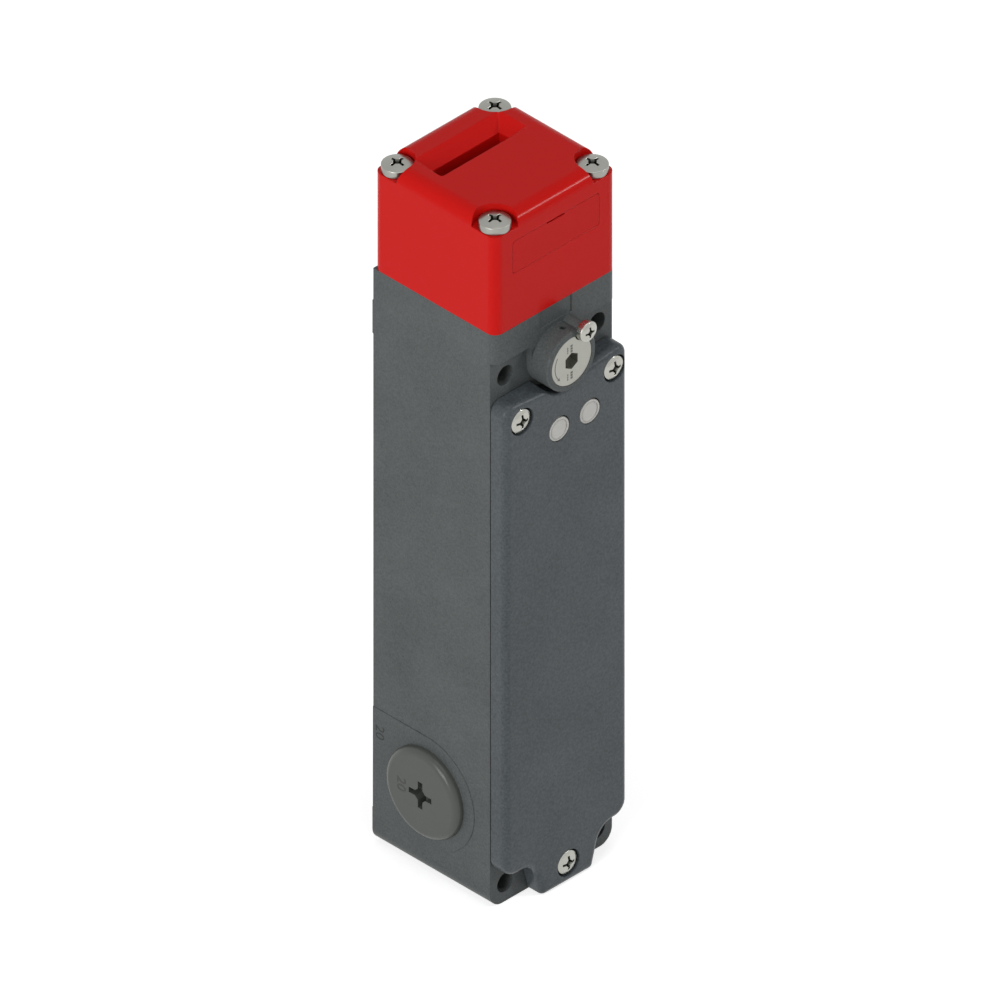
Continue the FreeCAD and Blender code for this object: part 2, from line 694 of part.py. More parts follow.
def led_board():
    """Small circuit board behind the lenses."""
    left, right, low, high = board_edges()
    return slab_y(rectangle(left, right, low, high, POST_R / 2), BOARD_FRONT, BOARD_FRONT + BOARD_T)


def led_lens(x):
    """Round indicator lens; its flange behind the cover's wall is flat at the top."""
    lens = round_y(x, LENS_Z, LENS_R, COVER_Y, COVER_INNER_Y)
    flange = round_y(x, LENS_Z, LENS_FLANGE_R, COVER_INNER_Y, BOARD_FRONT)
    flange = flange.common(box(-HALF_W, HALF_W, COVER_INNER_Y, BOARD_FRONT, CAVITY_LOW, CAVITY_TOP - DROP_IN))
    return one(lens.fuse(flange))


def cover_screws():
    """Screws of the front cover."""
    seat = COVER_Y + COVER_SINK
    shank = MATE_Y - seat + COVER_SCREW_IN
    screw = pan_screw(COVER_HEAD_R, COVER_HEAD_H, M4_R, shank)
    return [turned(screw, V(x, seat, z), V(1, 0, 0), 90) for x, z in cover_screw_places()]


def slot_mouth():
    """Flared mouth of the actuator slot, cut from the top of the head."""
    over = 0.5
    wires = []
    for z, grow, radius in ((HEAD_TOP - LEAD_IN, 0, LEAD_IN_R / 10),
                            (HEAD_TOP + over, LEAD_IN + over, LEAD_IN_R)):
        wires.append(outline(rectangle(-KEY_HALF - grow, KEY_HALF + grow, KEY_OFF - KEY_T / 2 - grow,
                                       KEY_OFF + KEY_T / 2 + grow, radius), on_z(z)))
    return Part.makeLoft(wires, True, True)


def head_housing():
    """Actuator head: a box with rounded upper edges, screw pockets and two actuator entries."""
    block = box(-HALF_W, HALF_W, -HALF_W, HALF_W, BODY_H, HEAD_TOP)
    block = block.makeFillet(HEAD_TOP_R, [e for e in block.Edges if e.BoundBox.ZMin > HEAD_TOP - 1e-4])
    head = block.common(slab_z(rectangle(-HALF_W, HALF_W, -HALF_W, HALF_W, CORNER_R), BODY_H, HEAD_TOP))
    room = HEAD_CAVITY
    cuts = [slab_z(rectangle(-room, room, -room, room, HEAD_CAVITY_R), BODY_H - 1, HEAD_TOP - HEAD_ROOF)]
    for sx in (-1, 1):
        for sy in (-1, 1):
            cuts.append(round_z(sx * POCKET_X, sy * POCKET_X, POCKET_R, HEAD_TOP - POCKET_DEEP, HEAD_TOP + 1))
            cuts.append(round_z(sx * HEAD_SCREW_X, sy * HEAD_SCREW_X, M4_PASS_R, BODY_H - 1, HEAD_TOP))
    half_t = KEY_T / 2
    cuts.append(box(-KEY_HALF, KEY_HALF, KEY_OFF - half_t, KEY_OFF + half_t, WHEEL_Z, HEAD_TOP))
    cuts.append(box(-KEY_HALF, KEY_HALF, FRONT_Y, 0, CAP_Z - half_t, CAP_Z + half_t))
    cuts.append(slot_mouth())
    wide = CAP_HALF + DROP_IN
    high = CAP_H / 2 + DROP_IN
    cuts.append(slab_y(rectangle(-wide, wide, CAP_Z - high, CAP_Z + high, CAP_CORNER_R), FRONT_Y - 1,
                       FRONT_Y + CAP_T))
    reach = HEAD_CAVITY + AXLE_SEAT
    cuts.append(round_x(0, WHEEL_Z, AXLE_R + FIT, -reach, reach))
    return one(head.cut(cuts))


def slot_cap():
    """Snap-in cap that closes the front actuator entry."""
    plate = slab_y(rectangle(-CAP_HALF, CAP_HALF, CAP_Z - CAP_H / 2, CAP_Z + CAP_H / 2, CAP_CORNER_R),
                   FRONT_Y, FRONT_Y + CAP_T)
    half_t = KEY_T / 2 - DROP_IN
    tongue = box(-KEY_HALF + DROP_IN, KEY_HALF - DROP_IN, FRONT_Y + CAP_T - 1, FRONT_Y + CAP_T + CAP_TONGUE,
                 CAP_Z - half_t, CAP_Z + half_t)
    top = CAP_Z + CAP_H / 2
    notch = box(-CAP_NOTCH_HALF, CAP_NOTCH_HALF, FRONT_Y - 1, FRONT_Y + CAP_T / 2, top - CAP_NOTCH, top + 1)
    return one(plate.fuse(tongue).cut(notch))


def head_screws():
    """Screws that hold the head on the body."""
    seat = HEAD_TOP - POCKET_DEEP
    screw = pan_screw(HEAD_SCREW_R, HEAD_SCREW_H, M4_R, seat - BODY_H + HEAD_SCREW_IN)
    places = [V(x, y, seat) for x in (-HEAD_SCREW_X, HEAD_SCREW_X) for y in (-HEAD_SCREW_X, HEAD_SCREW_X)]
    return [turned(screw, place, V(0, 0, 1), 0) for place in places]


def cam_wheel():
    """Wheel that the actuator turns: two toothed discs and a lobe between them.

    A quarter turn brings the narrow notch of the right-hand disc over the nose of the lock bar.
    """
    far = 2 * WHEEL_R
    wheel = round_x(0, WHEEL_Z, WHEEL_HUB_R, -HEAD_CAVITY + CLEAR, HEAD_CAVITY - CLEAR)
    for side in (-1, 1):
        x0, x1 = sorted((side * WHEEL_IN, side * WHEEL_OUT))
        disc = round_x(0, WHEEL_Z, WHEEL_R, x0, x1)
        disc = disc.cut(box(x0 - 1, x1 + 1, NOTCH_OFF, far, WHEEL_Z - TOOTH_LOW, WHEEL_Z + far))
        disc = disc.cut(box(x0 - 1, x1 + 1, -far, TOOTH_LOW, WHEEL_Z + NOTCH_OFF, WHEEL_Z + far))
        wheel = wheel.fuse(disc)
    wheel = wheel.cut(box(WHEEL_IN - 1, WHEEL_OUT + 1, LOCK_NOTCH_IN, far, WHEEL_Z + BAR_FRONT - CLEAR,
                          WHEEL_Z + BAR_BACK + CLEAR))
    lobe = lift_cam(LOBE_R, WHEEL_RATE, -90, ROD_TURN - 90, LOBE_BACK_R, 2 * LOBE_HALF)
    wheel = wheel.fuse(turned(lobe, V(-LOBE_HALF, 0, WHEEL_Z), V(1, 1, 1), 120))
    return one(wheel.cut(round_x(0, WHEEL_Z, AXLE_R + FIT, -HALF_W, HALF_W)))


def cam_axle():
    """Pin that the cam wheel turns on."""
    reach = HEAD_CAVITY + AXLE_SEAT - DROP_IN
    return round_x(0, WHEEL_Z, AXLE_R, -reach, reach)


def push_rod():
    """Rod that carries the wheel's turn down to the middle contact block."""
    head = slab_z(rectangle(-ROD_HEAD_HALF, ROD_HEAD_HALF, ROD_HEAD_FRONT, ROD_HEAD_BACK, 1.0),
                  ROD_TOP - ROD_HEAD_T, ROD_TOP)
    stem = round_z(0, 0, ROD_R, ROD_SHOULDER_Z, ROD_TOP - ROD_HEAD_T)
    return one(head.fuse([stem, round_z(0, 0, ROD_TIP_R, ROD_END_Z, ROD_SHOULDER_Z)]))


def rod_washer():
    """Washer between the rod's shoulder and its spring."""
    ring = round_z(0, 0, WASHER_R, ROD_SHOULDER_Z - WASHER_T, ROD_SHOULDER_Z)
    return ring.cut(round_z(0, 0, ROD_TIP_R + FIT, 0, BODY_H))


def coil_spring(radius, low, high, x, y):
    """Open-ended compression spring along Z."""
    half = SPRING_WIRE / 2
    rise = high - low - SPRING_WIRE
    helix = Part.makeHelix(rise / SPRING_TURNS, rise, radius)
    wire = Part.Wire([Part.makeCircle(half, V(radius, 0, 0), V(0, 1, 0))])
    spring = Part.Wire(helix).makePipeShell([wire], True, True)
    return turned(spring, V(x, y, low + half), V(0, 0, 1), 0)


def guide_plate():
    """Plate in the top of the body that guides the push rod and the lock bar."""
    side = CHANNEL_HALF + LEDGE - DROP_IN
    plate = slab_z(rectangle(-side, side, CHANNEL_FRONT - LEDGE + DROP_IN, CHANNEL_BACK + LEDGE - DROP_IN),
                   PLATE_LOW, PLATE_TOP)
    nose = box(NOSE_IN - DROP_IN, NOSE_OUT + DROP_IN, BAR_FRONT - DROP_IN, BAR_BACK + DROP_IN, 0, BODY_H)
    return plate.cut([round_z(0, 0, ROD_R + FIT, 0, BODY_H), nose])


def release_shaft():
    """Turned shaft with the slotted disc that shows in the turret."""
    shaft = round_y(0, TURRET_Z, DISC_R, DISC_FRONT, DISC_BACK)
    shaft = shaft.fuse(round_y(0, TURRET_Z, SHAFT_R, DISC_BACK, CAM_FRONT))
    half = SQUARE / 2
    shaft = shaft.fuse(box(-half, half, CAM_FRONT, CAM_BACK, TURRET_Z - half, TURRET_Z + half))
    shaft = shaft.fuse(round_y(0, TURRET_Z, TAIL_R, CAM_BACK, CAM_BACK + CLIP_T + DROP_IN))
    ring = round_y(0, TURRET_Z, SHAFT_R + 1, SEAL_Y - SEAL_W / 2, SEAL_Y + SEAL_W / 2)
    ring = ring.cut(round_y(0, TURRET_Z, SHAFT_R - SEAL_DEEP, SEAL_Y - SEAL_W, SEAL_Y + SEAL_W))
    point = HEX_FLATS / math.sqrt(3)
    corners = []
    for i in range(6):
        angle = math.radians(90 + 60 * i)
        corners.append((point * math.cos(angle), TURRET_Z + point * math.sin(angle), 0))
    socket = slab_y(corners, DISC_FRONT - 1, DISC_FRONT + HEX_DEEP)
    bite = round_y(LOCK_X, LOCK_Z, BITE_R, DISC_FRONT - 1, DISC_BACK + 1)
    return one(shaft.cut([ring, socket, bite]))


def release_seal():
    """Seal ring in the shaft's groove."""
    radius = SEAL_DEEP / 2 - FIT / 2
    return Part.makeTorus(SHAFT_R - SEAL_DEEP / 2, radius, V(0, SEAL_Y, TURRET_Z), V(0, 1, 0))


def release_cam():
    """Cam on the shaft's square end that presses the lock bar down."""
    cam = lift_cam(RELEASE_CAM_R, RELEASE_RATE, -90, RELEASE_TURN - 90, RELEASE_CAM_BACK_R, RELEASE_CAM_T)
    cam = turned(cam, V(0, CAM_BACK, TURRET_Z), V(1, 0, 0), 90)
    half = SQUARE / 2 + FIT
    return cam.cut(box(-half, half, CAM_FRONT - 1, CAM_BACK + 1, TURRET_Z - half, TURRET_Z + half))


def release_clip():
    """Ring that keeps the cam on its square."""
    ring = round_y(0, TURRET_Z, CLIP_R, CAM_BACK, CAM_BACK + CLIP_T)
    return ring.cut(round_y(0, TURRET_Z, TAIL_R + FIT, CAM_BACK - 1, CAM_BACK + CLIP_T + 1))


def lock_screw():
    """Small screw that keeps the release disc from turning."""
    screw = pan_screw(LOCK_HEAD_R, LOCK_HEAD_H, LOCK_R, LOCK_IN)
    return turned(screw, V(LOCK_X, TURRET_Y, LOCK_Z), V(1, 0, 0), 90)


def lock_bar():
    """Flat bar between the armature and the cam wheel, with side arms, a cam tab and a nose."""
    nose_top = WHEEL_Z - math.sqrt((WHEEL_R + CLEAR) ** 2 - BAR_BACK ** 2)
    arm_top = BAR_ARM_Z + BAR_ARM_T
    slope_top = BAR_WIDE_Z + NOSE_OUT - BAR_HALF
    soft = 0.5
    corners = [(-BAR_HALF, BAR_LOW, soft), (BAR_HALF, BAR_LOW, soft), (BAR_HALF, BAR_ARM_Z, soft),
               (BAR_ARM_HALF, BAR_ARM_Z, soft), (BAR_ARM_HALF, arm_top, soft), (BAR_HALF, arm_top, soft),
               (BAR_HALF, BAR_WIDE_Z, soft), (NOSE_OUT, slope_top, soft), (NOSE_OUT, nose_top, soft),
               (NOSE_IN, nose_top, soft), (NOSE_IN, BAR_WIDE_TOP, soft), (-BAR_HALF, BAR_WIDE_TOP, soft),
               (-BAR_HALF, arm_top, soft), (-BAR_ARM_HALF, arm_top, soft), (-BAR_ARM_HALF, BAR_ARM_Z, soft),
               (-BAR_HALF, BAR_ARM_Z, soft)]
    bar = slab_y(corners, BAR_FRONT, BAR_BACK)
    low = FOLLOW_Z - TAB_T
    step = FOLLOW_Z - TAB_STEP
    front = CAM_FRONT + CLEAR
    tab = slab_x([(front, low, 0), (BAR_FRONT + 1, low, 0), (BAR_FRONT + 1, step, 0), (CAM_BACK, step, 0),
                  (CAM_BACK, FOLLOW_Z, 0), (front, FOLLOW_Z, 0)], -BAR_HALF, BAR_HALF)
    pin_hole = round_y(0, BAR_PIN_Z, BAR_PIN_R + FIT, BAR_FRONT - 1, BAR_BACK + 1)
    return one(bar.fuse(tab).cut(pin_hole))


def lock_plunger(side):
    """Plunger of a side contact block, under an arm of the lock bar."""
    return round_z(side * PLUNGER_X, BAR_Y, PLUNGER_R, PLUNGER_LOW, BAR_ARM_Z)


def armature():
    """Steel plunger of the solenoid, forked at its top for the lock bar."""
    core = round_z(0, SOL_Y, ARMATURE_R, ARMATURE_LOW, ARMATURE_TOP)
    fork = box(-ARMATURE_R - 1, ARMATURE_R + 1, BAR_FRONT - FIT, BAR_BACK + FIT, FORK_LOW, ARMATURE_TOP + 1)
    bore = round_z(0, SOL_Y, ARM_SPRING_BORE, ARMATURE_LOW - 1, ARM_SPRING_TOP)
    pin = round_y(0, BAR_PIN_Z, BAR_PIN_R + FIT, SOL_Y - ARMATURE_R, SOL_Y + ARMATURE_R)
    return core.cut([fork, bore, pin])


def bar_pin():
    """Cross pin between the armature's fork and the lock bar."""
    reach = math.sqrt(ARMATURE_R ** 2 - BAR_PIN_R ** 2) - FIT
    return round_y(0, BAR_PIN_Z, BAR_PIN_R, SOL_Y - reach, SOL_Y + reach)


def solenoid_frame():
    """Bent steel frame round the coil."""
    frame = box(-SOL_HALF, SOL_HALF, SOL_FRONT, SOL_BACK, SOL_LOW, SOL_TOP)
    bends = []
    for edge in frame.Edges:
        centre = edge.CenterOfMass
        if abs(centre.x) < 1e-4 and abs(centre.y - SOL_BACK) < 1e-4:
            bends.append(edge)
    frame = frame.makeFillet(SOL_SHEET, bends)
    inside = box(-HALF_W, HALF_W, SOL_FRONT - 1, SOL_BACK - SOL_SHEET, SOL_LOW + SOL_SHEET,
                 SOL_TOP - SOL_SHEET)
    cuts = [inside, round_z(0, SOL_Y, ARMATURE_R + DROP_IN, SOL_TOP - 2 * SOL_SHEET, SOL_TOP + 1)]
    for side in (-1, 1):
        for z in PILLAR_Z:
            cuts.append(round_y(side * PILLAR_X, z, M3_R + DROP_IN, 0, SOL_BACK + 1))
    return frame.cut(cuts)


def core_stop():
    """Fixed core in the bottom of the coil."""
    return round_z(0, SOL_Y, ARMATURE_R, SOL_LOW + SOL_SHEET, CORE_TOP)


def coil_bobbin():
    """Moulded bobbin with square flanges."""
    low = SOL_LOW + SOL_SHEET
    high = SOL_TOP - SOL_SHEET
    bobbin = round_z(0, SOL_Y, ARMATURE_R + DROP_IN + BOBBIN_WALL, low, high)
    corners = rectangle(-BOBBIN_HALF, BOBBIN_HALF, SOL_Y - COIL_R - FIT, SOL_Y + COIL_R + FIT, BOBBIN_FLANGE)
    for start in (low, high - BOBBIN_FLANGE):
        bobbin = bobbin.fuse(slab_z(corners, start, start + BOBBIN_FLANGE))
    return one(bobbin.cut(round_z(0, SOL_Y, ARMATURE_R + DROP_IN, low - 1, high + 1)))


def coil_winding():
    """Copper winding on the bobbin."""
    low = SOL_LOW + SOL_SHEET + BOBBIN_FLANGE
    high = SOL_TOP - SOL_SHEET - BOBBIN_FLANGE
    winding = round_z(0, SOL_Y, COIL_R, low, high)
    return winding.cut(round_z(0, SOL_Y, ARMATURE_R + DROP_IN + BOBBIN_WALL, low - 1, high + 1))


def solenoid_screws():
    """Screws that hold the frame to the body's pillars."""
    screw = pan_screw(M3_HEAD_R, M3_HEAD_H, M3_R, SOL_SHEET + M3_IN)
    places = [V(side * PILLAR_X, SOL_BACK - SOL_SHEET, z) for side in (-1, 1) for z in PILLAR_Z]
    return [turned(screw, place, V(1, 0, 0), 90) for place in places]


def contact_block_centre():
    """Contact block under the push rod."""
    block = box(-BLOCK_HALF, BLOCK_HALF, BLOCK_FRONT, INNER_BACK, BLOCK_LOW, BLOCK_TOP)
    bore = round_z(0, 0, ROD_TIP_R + DROP_IN, ROD_END_Z - ROD_LIFT - HOLE_SPARE, BLOCK_TOP + 1)
    return block.cut(bore)


def contact_block_side():
    """Contact block beside the lock bar, right-hand side."""
    block = box(SIDE_BLOCK_IN, SIDE_BLOCK_OUT, SIDE_BLOCK_FRONT, INNER_BACK, SIDE_BLOCK_LOW, SIDE_BLOCK_TOP)
    bore = round_z(PLUNGER_X, BAR_Y, PLUNGER_R + DROP_IN, PLUNGER_LOW - RELEASE_LIFT - HOLE_SPARE,
                   SIDE_BLOCK_TOP + 1)
    return block.cut(bore)


def contact_terminals():
    """Terminal screws on the front of the side contact blocks."""
    x = (SIDE_BLOCK_IN + SIDE_BLOCK_OUT) / 2
    heads = []
    for z in (SIDE_BLOCK_LOW + 2 * TERMINAL_R, SIDE_BLOCK_LOW + 5 * TERMINAL_R):
        heads += both_sides(round_y(x, z, TERMINAL_R, SIDE_BLOCK_FRONT - TERMINAL_T, SIDE_BLOCK_FRONT))
    return heads


def strip_places():
    """Middles of the terminal strip's poles."""
    pitch = 2 * STRIP_HALF / STRIP_POLES
    return [-STRIP_HALF + pitch * (i + 0.5) for i in range(STRIP_POLES)]


def terminal_strip():
    """Moulded strip for the wiring, with a screw well for each pole."""
    strip = box(-STRIP_HALF, STRIP_HALF, STRIP_FRONT, INNER_BACK, STRIP_LOW, STRIP_LOW + STRIP_H)
    z = STRIP_LOW + STRIP_H * 0.65
    wells = [round_y(x, z, STRIP_WELL_R, STRIP_FRONT - 1, STRIP_FRONT + STRIP_WELL) for x in strip_places()]
    return strip.cut(wells)


def strip_screws():
    """Clamping screws in the wells of the terminal strip."""
    z = STRIP_LOW + STRIP_H * 0.65
    low = STRIP_FRONT + STRIP_WELL - TERMINAL_T
    return [round_y(x, z, STRIP_WELL_R - DROP_IN, low, low + TERMINAL_T) for x in strip_places()]


def entry_plug():
    """Blanking plug of the right-hand conduit entry."""
    face = PAD_X + PLUG_H
    flange = round_x(ENTRY_Y, ENTRY_Z, PLUG_R, PAD_X, face)
    rim = [e for e in flange.Edges if isinstance(e.Curve, Part.Circle) and e.Curve.Center.x > face - 1e-4]
    flange = flange.makeFillet(PLUG_RIM_R, rim)
    stem_r = ENTRY_R - DROP_IN
    plug = flange.fuse(round_x(ENTRY_Y, ENTRY_Z, stem_r, PAD_X - PLUG_STEM_IN, PAD_X))
    low = face - PLUG_CROSS_DEEP
    arm = box(low, face + 1, -PLUG_CROSS_REACH, PLUG_CROSS_REACH, -PLUG_CROSS_W / 2, PLUG_CROSS_W / 2)
    core = box(low, face + 1, -PLUG_CROSS_CORE, PLUG_CROSS_CORE, -PLUG_CROSS_CORE, PLUG_CROSS_CORE)
    middle = V(0, ENTRY_Y, ENTRY_Z)
    cross = [turned(arm, middle, V(1, 0, 0), 0), turned(arm, middle, V(1, 0, 0), 90),
             turned(core, middle, V(1, 0, 0), 45)]
    groove = round_x(ENTRY_Y, ENTRY_Z, PLUG_SEAL_OUT + FIT, PAD_X - 1, PAD_X + PLUG_SEAL_T)
    groove = groove.cut(round_x(ENTRY_Y, ENTRY_Z, PLUG_SEAL_IN - FIT, PAD_X - 2, PAD_X + 2))
    hollow = round_x(ENTRY_Y, ENTRY_Z, stem_r - PLUG_WALL, 0, low - PLUG_CROSS_FLOOR)
    return one(plug.cut(cross + [groove, hollow]))


def plug_seal():
    """Flat seal ring under the right-hand plug's flange."""
    ring = round_x(ENTRY_Y, ENTRY_Z, PLUG_SEAL_OUT, PAD_X, PAD_X + PLUG_SEAL_T)
    return ring.cut(round_x(ENTRY_Y, ENTRY_Z, PLUG_SEAL_IN, PAD_X - 1, PAD_X + PLUG_SEAL_T + 1))


def main():
    """Builds and writes every node."""
    os.makedirs("parts", exist_ok=True)
    save("body_housing", body_housing())
    save("front_cover", front_cover())
    save("cover_gasket", cover_cord(CORD_W, CORD_H))
    save("cover_screws", *cover_screws())
    save("led_lens_left", led_lens(LENS_X[0]))
    save("led_lens_right", led_lens(LENS_X[1]))
    save("led_board", led_board())
    save("head_housing", head_housing())
    save("head_gasket", head_cord(CORD_W, CORD_H))
    save("head_screws", *head_screws())
    save("slot_cap", slot_cap())
    save("cam_wheel", cam_wheel())
    save("cam_axle", cam_axle())
    save("push_rod", push_rod())
    save("rod_washer", rod_washer())
    save("rod_spring", coil_spring(SPRING_R, BLOCK_TOP, ROD_SHOULDER_Z - WASHER_T, 0, 0))
    save("guide_plate", guide_plate())
    save("release_shaft", release_shaft())
    save("release_seal", release_seal())
    save("release_cam", release_cam())
    save("release_clip", release_clip())
    save("lock_screw", lock_screw())
    save("lock_bar", lock_bar())
    save("bar_pin", bar_pin())
    save("armature", armature())
    save("armature_spring", coil_spring(ARM_SPRING_R, CORE_TOP, ARM_SPRING_TOP, 0, SOL_Y))
    save("solenoid_frame", solenoid_frame())
    save("solenoid_screws", *solenoid_screws())
    save("core_stop", core_stop())
    save("coil_bobbin", coil_bobbin())
    save("coil_winding", coil_winding())
    save("contact_block_centre", contact_block_centre())
    for name, side, block in zip(("left", "right"), (-1, 1), reversed(both_sides(contact_block_side()))):
        save("contact_block_" + name, block)
        save("lock_plunger_" + name, lock_plunger(side))
    save("contact_terminals", *contact_terminals())
    save("terminal_strip", terminal_strip())
    save("strip_screws", *strip_screws())
    for name, plug, seal in zip(("right", "left"), both_sides(entry_plug()), both_sides(plug_seal())):
        save("entry_plug_" + name, plug)
        save("plug_seal_" + name, seal)


main()
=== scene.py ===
"""Looks of a guard locking switch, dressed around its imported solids."""

import json
import logging
import math
from dataclasses import dataclass
from enum import Enum
from typing import Sequence, Union

import bmesh
import bpy
from mathutils import Matrix, Vector

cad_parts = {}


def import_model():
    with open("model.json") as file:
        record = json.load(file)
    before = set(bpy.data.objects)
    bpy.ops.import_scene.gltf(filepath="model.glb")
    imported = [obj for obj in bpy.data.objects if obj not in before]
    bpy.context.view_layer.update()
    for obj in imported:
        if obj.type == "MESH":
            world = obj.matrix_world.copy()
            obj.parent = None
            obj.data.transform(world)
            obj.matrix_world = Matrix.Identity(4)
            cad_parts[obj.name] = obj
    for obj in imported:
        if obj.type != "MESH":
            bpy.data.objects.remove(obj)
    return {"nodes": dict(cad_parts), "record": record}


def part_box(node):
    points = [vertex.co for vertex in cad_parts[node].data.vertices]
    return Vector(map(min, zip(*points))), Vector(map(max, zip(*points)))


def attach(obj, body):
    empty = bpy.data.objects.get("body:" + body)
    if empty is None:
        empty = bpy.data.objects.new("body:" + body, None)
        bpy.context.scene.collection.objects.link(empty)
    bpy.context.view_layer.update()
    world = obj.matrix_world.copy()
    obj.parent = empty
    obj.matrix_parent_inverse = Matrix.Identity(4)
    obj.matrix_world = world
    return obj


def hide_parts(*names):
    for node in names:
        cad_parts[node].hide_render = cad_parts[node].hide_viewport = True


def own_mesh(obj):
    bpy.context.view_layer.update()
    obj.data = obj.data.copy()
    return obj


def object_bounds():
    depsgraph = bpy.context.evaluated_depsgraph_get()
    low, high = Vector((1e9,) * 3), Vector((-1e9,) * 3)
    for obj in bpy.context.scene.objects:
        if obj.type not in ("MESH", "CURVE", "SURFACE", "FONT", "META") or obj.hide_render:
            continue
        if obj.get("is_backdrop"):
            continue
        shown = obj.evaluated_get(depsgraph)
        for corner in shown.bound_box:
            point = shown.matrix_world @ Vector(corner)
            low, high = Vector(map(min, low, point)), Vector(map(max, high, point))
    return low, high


LOG = logging.getLogger("switch")
MM = 0.001

Colour = tuple[float, float, float]
Form = bmesh.types.BMesh
Material = bpy.types.Material
Mesh = bpy.types.Mesh
Piece = bpy.types.Object
Socket = bpy.types.NodeSocket
Value = Union["Sock", Socket, float, Sequence[float]]


def srgb(red: float, green: float, blue: float) -> Colour:
    """Turns a colour as seen, 0 to 255, into the linear values that shaders take.

    Args:
        red: Red, 0 to 255.
        green: Green, 0 to 255.
        blue: Blue, 0 to 255.

    Returns:
        The linear colour.
    """
    def one(level: float) -> float:
        """Turns one channel."""
        part = level / 255
        return part / 12.92 if part <= 0.04045 else ((part + 0.055) / 1.055) ** 2.4

    return one(red), one(green), one(blue)


def shades(colour: Colour, darker: float, lighter: float) -> tuple[Colour, Colour]:
    """Makes a darker and a lighter shade of a colour.

    Args:
        colour: The linear colour.
        darker: Factor of the darker shade.
        lighter: Factor of the lighter shade.

    Returns:
        Both shades.
    """
    red, green, blue = colour
    dark = (red * darker, green * darker, blue * darker)
    return dark, (min(1.0, red * lighter), min(1.0, green * lighter), min(1.0, blue * lighter))


class Sock:
    """One value in a node tree, which Python's operators work on."""

    def __init__(self, nodes: "Nodes", socket: Socket) -> None:
        """Wraps a socket of a tree's node."""
        self.nodes = nodes
        self.socket = socket

    def _math(self, operation: str, first: Value, second: Value, clamp: bool = False) -> "Sock":
        """Adds one Math node on two values."""
        return self.nodes.node("ShaderNodeMath", {"operation": operation, "use_clamp": clamp},
                               {0: first, 1: second})

    def __add__(self, other: Value) -> "Sock":
        """Adds."""
        return self._math("ADD", self, other)

    __radd__ = __add__

    def __sub__(self, other: Value) -> "Sock":
        """Takes away."""
        return self._math("SUBTRACT", self, other)

    def __mul__(self, other: Value) -> "Sock":
        """Multiplies."""
        return self._math("MULTIPLY", self, other)

    def __truediv__(self, other: Value) -> "Sock":
        """Divides."""
        return self._math("DIVIDE", self, other)

    def power(self, other: Value) -> "Sock":
        """Raises to a power."""
        return self._math("POWER", self, other)

    def sine(self) -> "Sock":
        """Takes the sine of radians."""
        return self._math("SINE", self, 0.0)

    def larger(self, other: Value) -> "Sock":
        """Takes the larger of two values."""
        return self._math("MAXIMUM", self, other)

    def clamped(self) -> "Sock":
        """Holds the value between 0 and 1."""
        return self._math("ADD", self, 0.0, True)

    def between(self, low: float, high: float) -> "Sock":
        """Rises smoothly from 0 at low to 1 at high."""
        return self.nodes.node("ShaderNodeMapRange", {"interpolation_type": "SMOOTHSTEP"},
                               {"Value": self, "From Min": low, "From Max": high})


class Nodes:
    """A node tree under construction."""

    def __init__(self, tree: bpy.types.NodeTree) -> None:
        """Takes a tree over and empties it."""
        self.tree = tree
        tree.nodes.clear()

    def feed(self, socket: Socket, value: object) -> None:
        """Links a value to the input of a node, or sets it there.

        Args:
            socket: The input.
            value: A socket, a number, a list of numbers or whatever else the input holds.
        """
        if isinstance(value, Sock):
            value = value.socket
        if isinstance(value, Socket):
            self.tree.links.new(value, socket)
        elif isinstance(value, (list, tuple)):
            missing = len(socket.default_value) - len(value)
            socket.default_value = list(value) + [1.0] * missing
        else:
            socket.default_value = value

    def add(self, kind: str, settings: dict, inputs: dict) -> bpy.types.Node:
        """Adds a node.

        Args:
            kind: The node's type.
            settings: Its own settings, set first.
            inputs: Values or links by socket name or number.

        Returns:
            The node.
        """
        made = self.tree.nodes.new(kind)
        for key, value in settings.items():
            setattr(made, key, value)
        for key, value in inputs.items():
            self.feed(made.inputs[key], value)
        return made

    def node(self, kind: str, settings: dict, inputs: dict, output: Union[int, str] = 0) -> Sock:
        """Adds a node and hands back one of its outputs, wrapped."""
        return Sock(self, self.add(kind, settings, inputs).outputs[output])

    def seen_directly(self) -> Sock:
        """Tells rays of the camera, of gloss and of glass from all others.

        Returns:
            A value that is 1 for those rays and 0 for others.
        """
        path = self.add("ShaderNodeLightPath", {}, {}).outputs
        camera, gloss, glass = path["Is Camera Ray"], path["Is Glossy Ray"], path["Is Transmission Ray"]
        return Sock(self, camera).larger(gloss).larger(glass)


